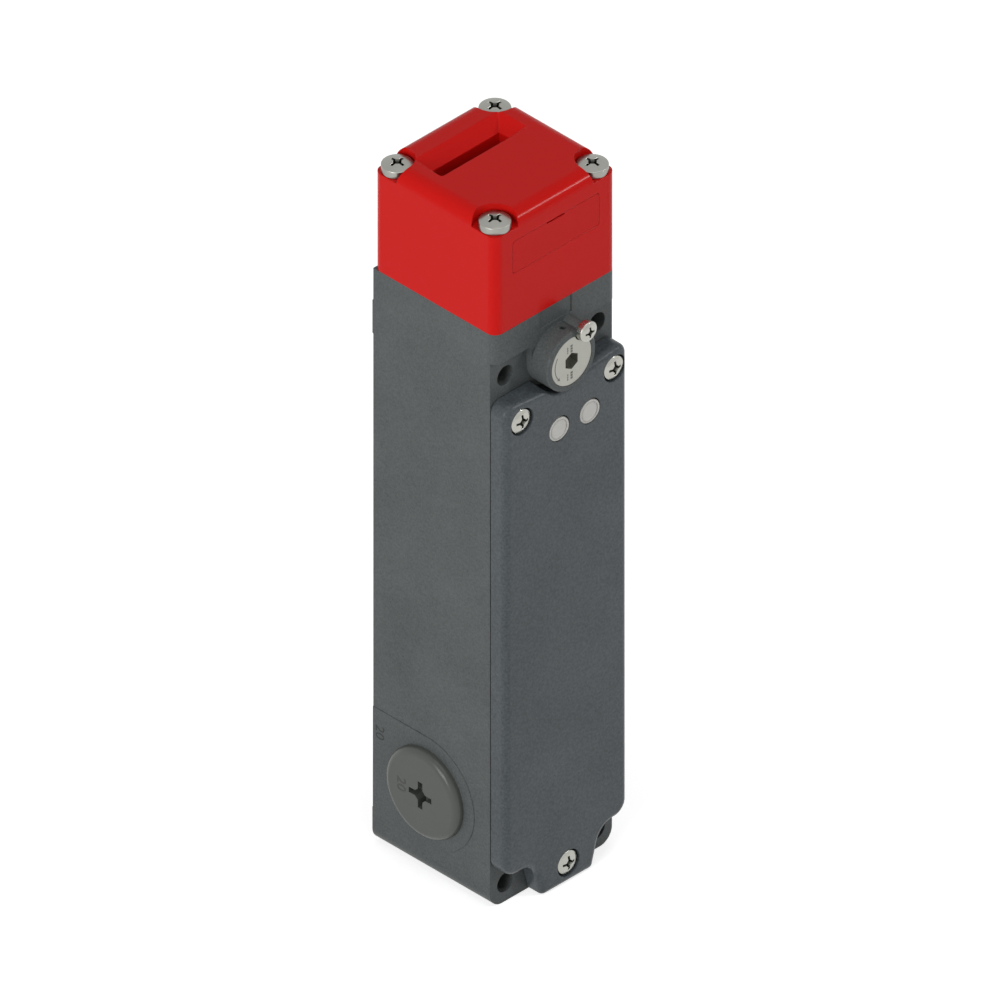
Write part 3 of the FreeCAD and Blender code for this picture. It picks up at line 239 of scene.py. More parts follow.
class Shader(Nodes):
    """A material under construction, with one Principled shader."""

    def __init__(self, name: str) -> None:
        """Makes a node material of that name."""
        self.material = bpy.data.materials.new(name)
        self.material.use_nodes = True
        super().__init__(self.material.node_tree)
        self.surface = self.add("ShaderNodeBsdfPrincipled", {}, {})
        self.output = self.add("ShaderNodeOutputMaterial", {}, {"Surface": self.surface.outputs[0]})

    def place(self) -> Sock:
        """The point on the piece, in metres."""
        return self.node("ShaderNodeTexCoord", {}, {}, "Object")

    def noise(self, place: Sock, size: float, detail: float = 2.0) -> Sock:
        """Soft noise, about 0.5, whose grains have a size in metres."""
        return self.node("ShaderNodeTexNoise", {}, {"Vector": place, "Scale": 1 / size, "Detail": detail})

    def parts(self, place: Sock) -> list[Sock]:
        """Splits a place into x, y and z."""
        return [Sock(self, output) for output in self.add("ShaderNodeSeparateXYZ", {}, {0: place}).outputs]

    def mix(self, share: Value, first: Value, second: Value) -> Sock:
        """Mixes two colours, the share being that of the second."""
        return self.node("ShaderNodeMix", {"data_type": "RGBA"}, {0: share, 6: first, 7: second}, 2)

    def uneven(self, mean: float, fine: Sock, by_fine: float, cloud: Sock, by_cloud: float) -> Sock:
        """Lets a value vary about its mean with a fine and a broad noise."""
        return mean + (fine - 0.5) * by_fine + (cloud - 0.5) * by_cloud

    def bump(self, height: Value, depth: float, under: Union[Sock, None] = None) -> Sock:
        """Turns a height of 0 to 1 into a normal, for relief of a depth in metres.

        Args:
            height: The height.
            depth: How deep the relief is, in metres.
            under: The normal that the relief lies on, or none for the surface's own.

        Returns:
            The normal.
        """
        inputs = {"Height": height, "Distance": depth, "Strength": 1.0}
        if under is not None:
            inputs["Normal"] = under
        return self.node("ShaderNodeBump", {}, inputs)

    def soft_edges(self, radius: float) -> Sock:
        """Rounds the look of sharp edges to a radius in metres."""
        return self.node("ShaderNodeBevel", {"samples": 4}, {"Radius": radius})

    def finish(self, **values: Value) -> Material:
        """Feeds the shader's own sockets.

        Args:
            values: Values by socket name, with _ for a blank.

        Returns:
            The finished material.
        """
        for key, value in values.items():
            self.feed(self.surface.inputs[key.replace("_", " ")], value)
        return self.material


@dataclass(frozen=True)
class PowderCoat:
    """Baked powder paint: an even colour with fine specks and a slight ripple."""

    colour: Colour
    roughness: float
    specks: float            # how much darker and lighter the specks are
    ripple: float            # depth
    speck_size: float = 0.45 * MM
    ripple_size: float = 0.9 * MM
    worn: float = 0.04       # change of the roughness
    edge: float = 0.22 * MM
    gloss: float = 0.25
    cloud_size: float = 30.0  # in specks
    cloud_share: float = 0.4

    def material(self, name: str) -> Material:
        """Makes the paint.

        Args:
            name: Name of the material.

        Returns:
            The material.
        """
        shader = Shader(name)
        place = shader.place()
        fine = shader.noise(place, self.speck_size, 3.0)
        cloud = shader.noise(place, self.cloud_size * self.speck_size)
        tone = fine + (cloud - 0.5) * self.cloud_share
        colour = shader.mix(tone, *shades(self.colour, 1 - self.specks, 1 + self.specks))
        relief = shader.noise(place, self.ripple_size, 1.0)
        return shader.finish(Base_Color=colour, Specular_IOR_Level=self.gloss,
                             Roughness=shader.uneven(self.roughness, fine, 2 * self.worn, cloud, self.worn),
                             Normal=shader.bump(relief, self.ripple, shader.soft_edges(self.edge)))


class Lay(Enum):
    """How the fine lines of a worked metal face run."""

    TURNED_Y = "round an axis along Y"
    DRAWN_X = "along X"
    NONE = "no lines"


@dataclass(frozen=True)
class Grained:
    """Surface with a fine relief, whose colour and roughness also vary in soft clouds."""

    colour: Colour
    roughness: float
    grain: float = 0.35 * MM
    depth: float = 0.004 * MM
    cloud_size: float = 6 * MM
    cloud_detail: float = 2.0
    darker: float = 0.95     # factors of the colour
    lighter: float = 1.05
    by_grain: float = 0.08   # change of the roughness
    by_cloud: float = 0.06

    def relief(self, shader: Shader, place: Sock) -> Sock:
        """Height of the relief, 0 to 1."""
        return shader.noise(place, self.grain)

    def plain(self) -> dict[str, float]:
        """Values of the shader that are the same all over."""
        return {}

    def material(self, name: str) -> Material:
        """Makes the material.

        Args:
            name: Its name.

        Returns:
            The material.
        """
        shader = Shader(name)
        place = shader.place()
        fine = self.relief(shader, place)
        cloud = shader.noise(place, self.cloud_size, self.cloud_detail)
        rough = shader.uneven(self.roughness, fine, self.by_grain, cloud, self.by_cloud)
        return shader.finish(Base_Color=shader.mix(cloud, *shades(self.colour, self.darker, self.lighter)),
                             Roughness=rough, Normal=shader.bump(fine, self.depth), **self.plain())


@dataclass(frozen=True)
class WorkedMetal(Grained):
    """Bare or plated metal, with fine tool lines or none."""

    grain: float = 0.3 * MM
    cloud_size: float = 2.5 * MM
    cloud_detail: float = 3.0
    darker: float = 0.93
    by_grain: float = 0.12
    lay: Lay = Lay.NONE
    line: float = 0.12 * MM
    centre: tuple[float, float, float] = (0.0, 0.0, 0.0)

    def relief(self, shader: Shader, place: Sock) -> Sock:
        """Height of the tool lines, or of plain grain.

        Args:
            shader: The material under construction.
            place: The point on the piece.

        Returns:
            The height, 0 to 1.
        """
        if self.lay is Lay.NONE:
            return super().relief(shader, place)
        origin = [-value for value in self.centre]
        x, y, z = shader.parts(shader.node("ShaderNodeMapping", {}, {"Vector": place, "Location": origin}))
        across = (x * x + z * z).power(0.5) if self.lay is Lay.TURNED_Y else y + z
        return shader.noise(shader.node("ShaderNodeCombineXYZ", {}, {"X": across}), self.line)

    def plain(self) -> dict[str, float]:
        """Values of the shader that are the same all over."""
        return {"Metallic": 1.0}


@dataclass(frozen=True)
class Moulded(Grained):
    """Moulded plastic or rubber with a faint texture from the mould."""

    coat: float = 0.0
    coat_roughness: float = 0.12
    gloss: float = 0.4

    def plain(self) -> dict[str, float]:
        """Values of the shader that are the same all over."""
        return {"Coat_Weight": self.coat, "Coat_Roughness": self.coat_roughness,
                "Specular_IOR_Level": self.gloss}


@dataclass(frozen=True)
class Winding:
    """Enamelled wire wound round an axis along Z."""

    colour: Colour
    pitch: float = 0.5 * MM
    depth: float = 0.06 * MM
    # The groove factor darkens the colour between two turns: painted shade in the crease between the wires.
    groove: float = 0.55     # factor of the colour between two turns
    cloud_size: float = 3 * MM
    metallic: float = 0.85
    roughness: float = 0.3
    by_cloud: float = 0.12   # change of the roughness

    def material(self, name: str) -> Material:
        """Makes the wire's finish.

        Args:
            name: Name of the material.

        Returns:
            The material.
        """
        shader = Shader(name)
        place = shader.place()
        _, _, z = shader.parts(place)
        # The wave darkens the colour between turns, as painted shade in the creases, and also drives the
        # bump.
        turn = (z * (2 * math.pi / self.pitch)).sine() * 0.5 + 0.5
        cloud = shader.noise(place, self.cloud_size)
        return shader.finish(Base_Color=shader.mix(turn, *shades(self.colour, self.groove, 1.0)),
                             Metallic=self.metallic, Roughness=self.roughness + cloud * self.by_cloud,
                             Normal=shader.bump(turn, self.depth))


@dataclass(frozen=True)
class SolderMask:
    """Circuit board lacquer with copper tracks under it."""

    colour: Colour
    track: Colour
    pitch_x: float = 1.6 * MM
    pitch_z: float = 2.1 * MM
    edge_x: tuple[float, float] = (0.55, 0.75)  # of the wave, where a track starts and is full
    edge_z: tuple[float, float] = (0.6, 0.8)
    depth: float = 0.03 * MM
    grain: float = 0.5 * MM
    roughness: float = 0.32
    by_grain: float = 0.1    # change of the roughness

    def material(self, name: str) -> Material:
        """Makes the board's finish.

        Args:
            name: Name of the material.

        Returns:
            The material.
        """
        shader = Shader(name)
        place = shader.place()
        x, _, z = shader.parts(place)
        along = (x * (2 * math.pi / self.pitch_x)).sine().between(*self.edge_x)
        up = (z * (2 * math.pi / self.pitch_z)).sine().between(*self.edge_z)
        tracks = along + up - along * up
        return shader.finish(Base_Color=shader.mix(tracks, self.colour, self.track),
                             Roughness=self.roughness + shader.noise(place, self.grain) * self.by_grain,
                             Normal=shader.bump(tracks, self.depth))


FINISHES = {
    "body_grey": PowderCoat(srgb(86, 90, 90), 0.4, 0.46, 0.012 * MM, edge=0.3 * MM, gloss=0.12),
    "cover_grey": PowderCoat(srgb(75, 81, 84), 0.32, 0.6, 0.004 * MM, 0.6 * MM, worn=0.015, edge=0.35 * MM,
                             gloss=0.2),
    "head_red": PowderCoat(srgb(205, 22, 18), 0.2, 0.02, 0.0008 * MM, worn=0.02, edge=0.25 * MM, gloss=0.07),
    "cap_red": PowderCoat(srgb(202, 22, 18), 0.22, 0.02, 0.0008 * MM, worn=0.02, edge=0.1 * MM, gloss=0.07),
    "screw_steel": WorkedMetal(srgb(172, 172, 165), 0.26),
    "lens_white": Moulded(srgb(194, 193, 188), 0.34, coat=0.15),
    "board_green": SolderMask(srgb(24, 84, 46), srgb(52, 122, 66)),
    "seal_rubber": Moulded(srgb(34, 34, 35), 0.62, depth=0.01 * MM),
    "cam_plastic": Moulded(srgb(46, 14, 14), 0.5),
    "guide_plastic": Moulded(srgb(214, 208, 192), 0.45),
    "shaft_metal": WorkedMetal(srgb(158, 158, 151), 0.4, lay=Lay.TURNED_Y, centre=(0.0, 0.0, 149.3 * MM)),
    "steel": WorkedMetal(srgb(168, 170, 172), 0.36, lay=Lay.DRAWN_X),
    "spring_steel": WorkedMetal(srgb(150, 150, 152), 0.3),
    "copper": Winding(srgb(196, 112, 62)),
    "bobbin_white": Moulded(srgb(226, 223, 213), 0.42),
    "contact_black": Moulded(srgb(40, 41, 43), 0.45),
    "plunger_white": Moulded(srgb(232, 230, 222), 0.4),
    "plug_grey": Moulded(srgb(84, 87, 83), 0.25, depth=0.0004 * MM, gloss=0.25),
}

# Finishes of pieces that are built here, on top of the record's slots.
EXTRAS = {
    # Dark grey of the disc's marks: painted shade of engraved lines.
    "disc_mark_shade": Moulded(srgb(104, 104, 99), 0.6),
    # Dark greys of the size numbers: painted shade of the figures' relief on the casting and the plug.
    "casting_figure_shade": Moulded(srgb(46, 49, 49), 0.6),
    "plug_figure_shade": Moulded(srgb(58, 60, 57), 0.5),
    # Darker steel for the screws' cross recesses: painted shade inside the recess.
    "recess_shade_steel": WorkedMetal(srgb(108, 108, 103), 0.3),
    # Darker copy of the screw steel for the up-facing head screws: painted shade on their faces.
    "head_screw_shaded_steel": WorkedMetal(srgb(152, 152, 146), 0.32),
}


class Palette:
    """All finishes of the switch by the record's slot names."""

    def __init__(self) -> None:
        """Makes every material once."""
        self.made = {slot: finish.material(slot + "_finish") for slot, finish in FINISHES.items()}
        self.made.update({name: finish.material(name) for name, finish in EXTRAS.items()})

    def dress(self, piece: Piece, slot: str) -> None:
        """Gives a piece its finish.

        Args:
            piece: The piece.
            slot: Name of the record's material slot.
        """
        if not piece.material_slots:
            piece.data.materials.append(self.made[slot])
        for held in piece.material_slots:
            held.material = self.made[slot]


class Cad:
    """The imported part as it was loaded, with its nodes, slots and bodies."""

    def __init__(self) -> None:
        """Loads the frame and reads where each node belongs."""
        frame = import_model()
        record = frame["record"]
        self.nodes = frame["nodes"]
        self.joints = record["behaviour"]["joints"]
        self.slots = {entry["node"]: entry["material_slot"] for entry in record["subparts"]}
        self.body_of = {node: body for body, nodes in record["behaviour"]["bodies"].items() for node in nodes}
        self.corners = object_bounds()

    def solids(self, node: str) -> list[tuple[Vector, Vector]]:
        """Finds the box of each separate solid of a node.

        Args:
            node: Name of the node.

        Returns:
            Lowest and highest corner of each solid, from left to right.
        """
        form = bmesh.new()
        form.from_mesh(self.nodes[node].data)
        bmesh.ops.remove_doubles(form, verts=form.verts, dist=0.001 * MM)
        left = set(form.verts)
        found = []
        while left:
            group = [left.pop()]
            for vert in group:
                for edge in vert.link_edges:
                    other = edge.other_vert(vert)
                    if other in left:
                        left.remove(other)
                        group.append(other)
            low = Vector([min(vert.co[axis] for vert in group) for axis in range(3)])
            high = Vector([max(vert.co[axis] for vert in group) for axis in range(3)])
            found.append((low, high))
        form.free()
        return sorted(found, key=lambda box: [round(value, 6) for value in box[0]])

    def place(self, piece: Piece, node: str, replace: bool) -> None:
        """Lets a piece that was built here ride where a node belongs.

        Args:
            piece: The piece, in its place.
            node: The node that it stands for or sits on.
            replace: Whether the node is hidden behind the piece.
        """
        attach(piece, self.body_of[node])
        if replace:
            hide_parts(node)
        LOG.info("%s rides on %s", piece.name, self.body_of[node])


def stand(data: bpy.types.ID, name: str) -> Piece:
    """Puts an object into the scene, at the origin.

    Args:
        data: Its mesh, text, lamp or camera.
        name: Its name.

    Returns:
        The object.
    """
    piece = bpy.data.objects.new(name, data)
    bpy.context.scene.collection.objects.link(piece)
    return piece


class Facing(Enum):
    """Where the axis of a turned piece points."""

    UP = "up"
    FRONT = "to the front"
    LEFT = "to the left"

    def turn(self) -> Matrix:
        """The turn that takes the Z axis there.

        Returns:
            The turn.
        """
        if self is Facing.FRONT:
            return Matrix.Rotation(math.pi / 2, 4, "X")
        if self is Facing.LEFT:
            return Matrix.Rotation(-math.pi / 2, 4, "Y") @ Matrix.Rotation(-math.pi / 2, 4, "Z")
        return Matrix.Identity(4)


class Outline:
    """Mesh code that the turned and flat pieces share."""

    @staticmethod
    def ring(form: Form, radius: float, height: float, steps: int) -> list:
        """Adds a ring of points, or one point where the radius is 0."""
        angles = [2 * math.pi * step / steps for step in range(steps if radius else 1)]
        return [form.verts.new((radius * math.cos(a), radius * math.sin(a), height)) for a in angles]

    @staticmethod
    def skin(form: Form, first: list, second: list) -> None:
        """Joins two rings, the second further up the outline, with faces.

        Args:
            form: The mesh under construction.
            first: The lower ring, or a pole.
            second: The upper ring, or a pole.
        """
        count = max(len(first), len(second))
        for i in range(count):
            j = (i + 1) % count
            corners = [first[i % len(first)], first[j % len(first)], second[j % len(second)],
                       second[i % len(second)]]
            form.faces.new(list(dict.fromkeys(corners)))

    @staticmethod
    def turned(form: Form, profile: list[tuple[float, float]], steps: int) -> list:
        """Turns a profile round the Z axis.

        Args:
            form: The mesh under construction.
            profile: Radius and height of each ring, from below.
            steps: How many points a ring has.

        Returns:
            The points of the last ring.
        """
        rings = [Outline.ring(form, radius, height, steps) for radius, height in profile]
        for low, high in zip(rings, rings[1:]):
            Outline.skin(form, low, high)
        return rings[-1]

    @staticmethod
    def closed(form: Form, name: str, sharp: float = 32.0) -> Mesh:
        """Finishes a mesh: faces outward, smooth but for edges sharper than an angle.

        Args:
            form: The mesh under construction, which is freed.
            name: Name of the mesh.
            sharp: The angle, in degrees.

        Returns:
            The mesh.
        """
        bmesh.ops.recalc_face_normals(form, faces=form.faces)
        for face in form.faces:
            face.smooth = True
        for edge in form.edges:
            edge.smooth = edge.calc_face_angle(0.0) < math.radians(sharp)
        mesh = bpy.data.meshes.new(name)
        form.to_mesh(mesh)
        form.free()
        return mesh


class Growth(Nodes):
    """A Geometry Nodes tree under construction, with named inputs."""

    def __init__(self, name: str, inputs: dict[str, str]) -> None:
        """Makes a tree.

        Args:
            name: Name of the tree.
            inputs: Kind of socket by the input's name.
        """
        super().__init__(bpy.data.node_groups.new(name, "GeometryNodeTree"))
        face = self.tree.interface
        for label, kind in {"Geometry": "Geometry", **inputs}.items():
            face.new_socket(label, in_out="INPUT", socket_type="NodeSocket" + kind)
        face.new_socket("Geometry", in_out="OUTPUT", socket_type="NodeSocketGeometry")
        start = self.add("NodeGroupInput", {}, {})
        self.given = {output.name: Sock(self, output) for output in start.outputs}

    def close(self, grown: Sock, marked: str = "") -> None:
        """Realizes the instances, gives them the finish and ends the tree.

        Args:
            grown: What the tree has grown.
            marked: Face attribute of the faces that take the recess finish instead, a darker steel that is
                painted shade inside the recess, if any.
        """
        given = self.given
        real = self.node("GeometryNodeRealizeInstances", {}, {"Geometry": grown})
        dressed = self.node("GeometryNodeSetMaterial", {}, {"Geometry": real, "Material": given["Finish"]})
        if marked:
            faces = self.node("GeometryNodeInputNamedAttribute", {"data_type": "BOOLEAN"}, {"Name": marked},
                              "Attribute")
            dressed = self.node("GeometryNodeSetMaterial", {},
                                {"Geometry": dressed, "Selection": faces, "Material": given["Recess Finish"]})
        self.add("NodeGroupOutput", {}, {"Geometry": dressed})

    def grow(self, seed: Mesh, name: str, values: dict) -> Piece:
        """Runs the tree on a mesh and keeps the result as a plain mesh.

        Args:
            seed: The mesh that the tree starts from.
            name: Name of the piece.
            values: Values by the inputs' names.

        Returns:
            The piece.
        """
        start = stand(seed, name + "_seed")
        modifier = start.modifiers.new("growth", "NODES")
        modifier.node_group = self.tree
        for item in self.tree.interface.items_tree:
            if item.in_out == "INPUT" and item.name in values:
                modifier[item.identifier] = values[item.name]
        grown = start.evaluated_get(bpy.context.evaluated_depsgraph_get())
        mesh = bpy.data.meshes.new_from_object(grown)
        mesh.name = name
        bpy.data.objects.remove(start)
        return stand(mesh, name)


@dataclass(frozen=True)
class Cut:
    """One outline of a cross recess: shares of the mouth's sizes, and its depth."""

    size: float = 1.0
    width: float = 1.0
    sink: float = 0.0
    level: bool = False      # sunk from the dome's top instead of from the face above each point


@dataclass
class Screw:
    """Screw with a domed head and a tapered cross recess, its axis up and its seat at 0."""

    head_radius: float
    rim_height: float
    crown: float             # rise of the dome over the rim
    reach: float             # length of the recess's arms, from the axis
    shank_radius: float
    shank_length: float
    tip_height: float = 0.4 * MM
    tip_share: float = 0.8   # radius of the tip, of the shank's
    foot_height: float = 0.12 * MM
    foot_share: float = 0.97  # radius of the seat, of the head's
    edge: float = 0.25 * MM
    arm: float = 0.19        # half width of an arm, of the reach
    core: float = 0.5        # where the arms meet, of the reach
    margin: float = 1.06     # from the axis to the last ring round the recess, of the reach
    point: float = 0.25 * MM  # depth of the recess's tip under its floor
    lip: Cut = Cut(0.96, 0.86, 0.08 * MM)
    floor: Cut = Cut(0.6, 0.55, 1.9 * MM, True)
    steps: int = 64
    edge_steps: int = 4
    face_steps: int = 6
    # The recess faces take a darker steel, which is painted shade inside the recess.
    layer: str = "recess"    # face attribute that marks the recess

    def surface(self, radius: float) -> float:
        """Height of the domed face.

        Args:
            radius: Distance from the axis.

        Returns:
            The height there.
        """
        rim = self.head_radius - self.edge
        ball = (rim * rim + self.crown * self.crown) / (2 * self.crown)
        return self.rim_height + math.sqrt(ball * ball - radius * radius) - (ball - self.crown)

    def cross(self, form: Form, cut: Cut) -> list:
        """Adds one outline of the recess.

        Args:
            form: The mesh under construction.
            cut: The outline.

        Returns:
            The outline's points.
        """
        reach = self.reach * cut.size
        arm = self.reach * self.arm * cut.width
        core = self.reach * self.core * cut.size
        verts = []
        for quarter in range(4):
            turn = Matrix.Rotation(quarter * math.pi / 2, 2)
            for corner in ((reach, -arm), (reach, arm), (core, arm), (arm, core)):
                point = turn @ Vector(corner)
                height = self.surface(0.0 if cut.level else point.length) - cut.sink
                verts.append(form.verts.new((point.x, point.y, height)))
        return verts

    def profile(self) -> list[tuple[float, float]]:
        """Lists the rings from the tip of the shank to the edge of the recess.

        Returns:
            Radius and height of each ring.
        """
        tip, radius, rim = -self.shank_length, self.head_radius, self.head_radius - self.edge
        shank = self.shank_radius
        rings = [(0, tip), (shank * self.tip_share, tip), (shank, tip + self.tip_height), (shank, 0),
                 (radius * self.foot_share, 0), (radius, self.foot_height)]
        for step in range(self.edge_steps + 1):
            angle = math.pi / 2 * step / self.edge_steps
            rings.append((rim + self.edge * math.cos(angle),
                          self.rim_height - self.edge * (1 - math.sin(angle))))
        inner = self.reach * self.margin
        for step in range(1, self.face_steps + 1):
            ring = rim + (inner - rim) * step / self.face_steps
            rings.append((ring, self.surface(ring)))
        return rings

    def mesh(self, name: str) -> Mesh:
        """Builds the screw.

        Args:
            name: Name of the mesh.

        Returns:
            The mesh.
        """
        form = bmesh.new()
        face = Outline.turned(form, self.profile(), self.steps)
        mouth, lip, floor = (self.cross(form, cut) for cut in (Cut(), self.lip, self.floor))
        tip = [form.verts.new((0, 0, self.surface(0.0) - self.floor.sink - self.point))]
        Outline.skin(form, mouth, lip)
        outer = len(form.faces)
        Outline.skin(form, lip, floor)
        Outline.skin(form, floor, tip)
        mark = form.faces.layers.bool.new(self.layer)
        form.faces.ensure_lookup_table()
        for part in form.faces[outer:]:
            part[mark] = True
        rims = [form.edges.get(pair) for loop in (face, mouth) for pair in zip(loop, loop[1:] + loop[:1])]
        bmesh.ops.triangle_fill(form, edges=rims, use_beauty=True, normal=(0, 0, 1))
        return Outline.closed(form, name)


@dataclass(frozen=True)
class ScrewKind:
    """Sizes and finish that the screws of one node share."""

    node: str
    facing: Facing
    finish: str
    seat: float              # how far the seat lies under the outer face of the node
    rim_height: float
    crown: float
    reach: float
    shank: float             # radius


SCREW_KINDS = (
    ScrewKind("head_screws", Facing.UP, "head_screw_shaded_steel", seat=2.2 * MM, rim_height=2.0 * MM,
              crown=0.6 * MM, reach=2.1 * MM, shank=1.9 * MM),
    ScrewKind("cover_screws", Facing.FRONT, "screw_steel", seat=2.1 * MM, rim_height=2.1 * MM,
              crown=0.75 * MM, reach=1.95 * MM, shank=1.9 * MM),
    ScrewKind("lock_screw", Facing.FRONT, "screw_steel", seat=1.75 * MM, rim_height=1.75 * MM,
              crown=0.6 * MM, reach=1.5 * MM, shank=1.2 * MM),
)


@dataclass
class Fasteners:
    """All screws whose heads show, set out by one tree."""

    cad: Cad
    palette: Palette

    def tree(self) -> Growth:
        """Builds the tree that puts one screw on each point.

        Returns:
            The tree.
        """
        growth = Growth("screws_on_points", {"Screw": "Object", "Turn": "Rotation", "Finish": "Material",
                                             "Recess Finish": "Material"})
        given = growth.given
        form = growth.node("GeometryNodeObjectInfo", {}, {"Object": given["Screw"]}, "Geometry")
        growth.close(growth.node("GeometryNodeInstanceOnPoints", {},
                                 {"Points": given["Geometry"], "Instance": form, "Rotation": given["Turn"]}),
                     Screw.layer)
        return growth

    def set_out(self, growth: Growth, kind: ScrewKind) -> None:
        """Replaces the screws of one node.

        Args:
            growth: The tree.
            kind: The screws' sizes and finish.
        """
        boxes = self.cad.solids(kind.node)
        size = boxes[0][1] - boxes[0][0]
        upright = kind.facing is Facing.UP
        seats = []
        for low, high in boxes:
            x, y, z = (low + high) / 2
            seats.append((x, y, high.z - kind.seat) if upright else (x, low.y + kind.seat, z))
        length = size.z if upright else size.y
        screw = Screw(size.x / 2, kind.rim_height, kind.crown, kind.reach, kind.shank, length - kind.seat)
        form = stand(screw.mesh(kind.node + "_form"), kind.node + "_form")
        points = bpy.data.meshes.new(kind.node + "_places")
        points.from_pydata(seats, [], [])
        made = self.palette.made
        piece = growth.grow(points, kind.node + "_turned",
                            {"Screw": form, "Turn": kind.facing.turn().to_euler(),
                             "Finish": made[kind.finish], "Recess Finish": made["recess_shade_steel"]})
        bpy.data.objects.remove(form)
        self.cad.place(piece, kind.node, True)

    def build(self) -> None:
        """Replaces the screws of the head, of the cover and of the release disc."""
        growth = self.tree()
        for kind in SCREW_KINDS:
            self.set_out(growth, kind)


@dataclass
class Lenses:
    """The two round lenses in the cover: a rim, a groove and a low dome."""

    cad: Cad
    palette: Palette
    radius: float = 3.25 * MM
    flange: float = 0.6 * MM
    rim: float = 0.5 * MM
    groove: float = 0.26 * MM
    groove_lean: float = 0.05 * MM
    groove_width: float = 0.3 * MM
    edge: float = 0.12 * MM
    dome: float = 0.12 * MM
    steps: int = 96
    dome_steps: int = 6
    sharp: float = 20.0      # degrees

    def mesh(self, name: str, flange_radius: float, length: float) -> Mesh:
        """Builds one lens, its axis up and its rim at 0.

        Args:
            name: Name of the mesh.
            flange_radius: Radius of the flange behind the cover.
            length: From the flange's back to the rim.

        Returns:
            The mesh.
        """
        inner, flange = self.radius - self.rim, self.flange - length
        profile = [(0, -length), (flange_radius, -length), (flange_radius, flange), (self.radius, flange),
                   (self.radius, -self.edge), (self.radius - self.edge, 0), (inner, 0),
                   (inner - self.groove_lean, -self.groove), (inner - self.groove_width, -self.groove)]
        for step in range(1, self.dome_steps):
            angle = math.pi / 2 * step / self.dome_steps
            profile.append(((inner - self.groove_width) * math.cos(angle),
                            (self.groove + self.dome) * math.sin(angle) - self.groove))
        profile.append((0, self.dome))
        form = bmesh.new()
        Outline.turned(form, profile, self.steps)
        return Outline.closed(form, name, self.sharp)

    def build(self) -> None:
        """Replaces both lenses."""
        for node in ("led_lens_left", "led_lens_right"):
            low, high = (Vector(corner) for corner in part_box(node))
            mesh = self.mesh(node + "_domed", (high.x - low.x) / 2, high.y - low.y)
            middle = (low + high) / 2
            mesh.transform(Matrix.Translation((middle.x, low.y, middle.z)) @ Facing.FRONT.turn())
            piece = stand(mesh, node + "_domed")
            self.palette.dress(piece, "lens_white")
            self.cad.place(piece, node, True)


@dataclass
class Springs:
    """The return springs of the push rod and of the armature, wound from round wire."""

    cad: Cad
    palette: Palette
    wire: float = 0.8 * MM
    pitch: float = 2.0 * MM
    flat_turns: float = 2.0  # the first and the last
    flat_wires: float = 3.0  # height that they take, in wires
    points_a_turn: int = 28
    points_round_wire: int = 12

    def tree(self) -> Growth:
        """Builds the tree that winds one spring whose first and last turn lie flat.

        Returns:
            The tree.
        """
        growth = Growth("wound_spring", {"Turns": "Float", "Points": "Int", "Radius": "Float",
                                         "Height": "Float", "Wire": "Float", "Finish": "Material"})
        given = growth.given
        turns, wire = given["Turns"], given["Wire"]
        spiral = growth.node("GeometryNodeCurveSpiral", {},
                             {"Resolution": given["Points"], "Rotations": turns, "Height": 0.0,
                              "Start Radius": given["Radius"], "End Radius": given["Radius"]})
        turned = growth.node("GeometryNodeSplineParameter", {}, {}, "Factor") * turns
        free_turns = turns - self.flat_turns
        after_first = turned - 1.0
        flat = turned.clamped() + (after_first - free_turns).clamped()
        rise = (after_first / free_turns).clamped() * (given["Height"] - wire * self.flat_wires)
        lift = growth.node("ShaderNodeCombineXYZ", {}, {"Z": flat * wire + rise + wire * 0.5})
        wound = growth.node("GeometryNodeSetPosition", {}, {"Geometry": spiral, "Offset": lift})
        ring = growth.node("GeometryNodeCurvePrimitiveCircle", {},
                           {"Resolution": self.points_round_wire, "Radius": wire * 0.5})
        growth.close(growth.node("GeometryNodeCurveToMesh", {},
                                 {"Curve": wound, "Profile Curve": ring, "Fill Caps": True}))
        return growth

    def build(self) -> None:
        """Winds every spring that a joint presses together."""
        growth = self.tree()
        for joint in self.cad.joints:
            for entry in joint.get("deforming_nodes", []):
                node = entry["node"]
                low, high = (Vector(corner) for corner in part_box(node))
                tall = high.z - low.z
                turns = round((tall - self.flat_wires * self.wire) / self.pitch) + self.flat_turns
                seed = bpy.data.meshes.new(node + "_seed")
                piece = growth.grow(seed, node + "_wound",
                                    {"Turns": turns, "Points": self.points_a_turn,
                                     "Radius": (high.x - low.x - self.wire) / 2, "Height": tall,
                                     "Wire": self.wire, "Finish": self.palette.made["spring_steel"]})
                middle = (low + high) / 2
                piece.data.transform(Matrix.Translation((middle.x, middle.y, low.z)))
                for face in piece.data.polygons:
                    face.use_smooth = True
                self.cad.place(piece, node, True)
                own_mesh(piece)


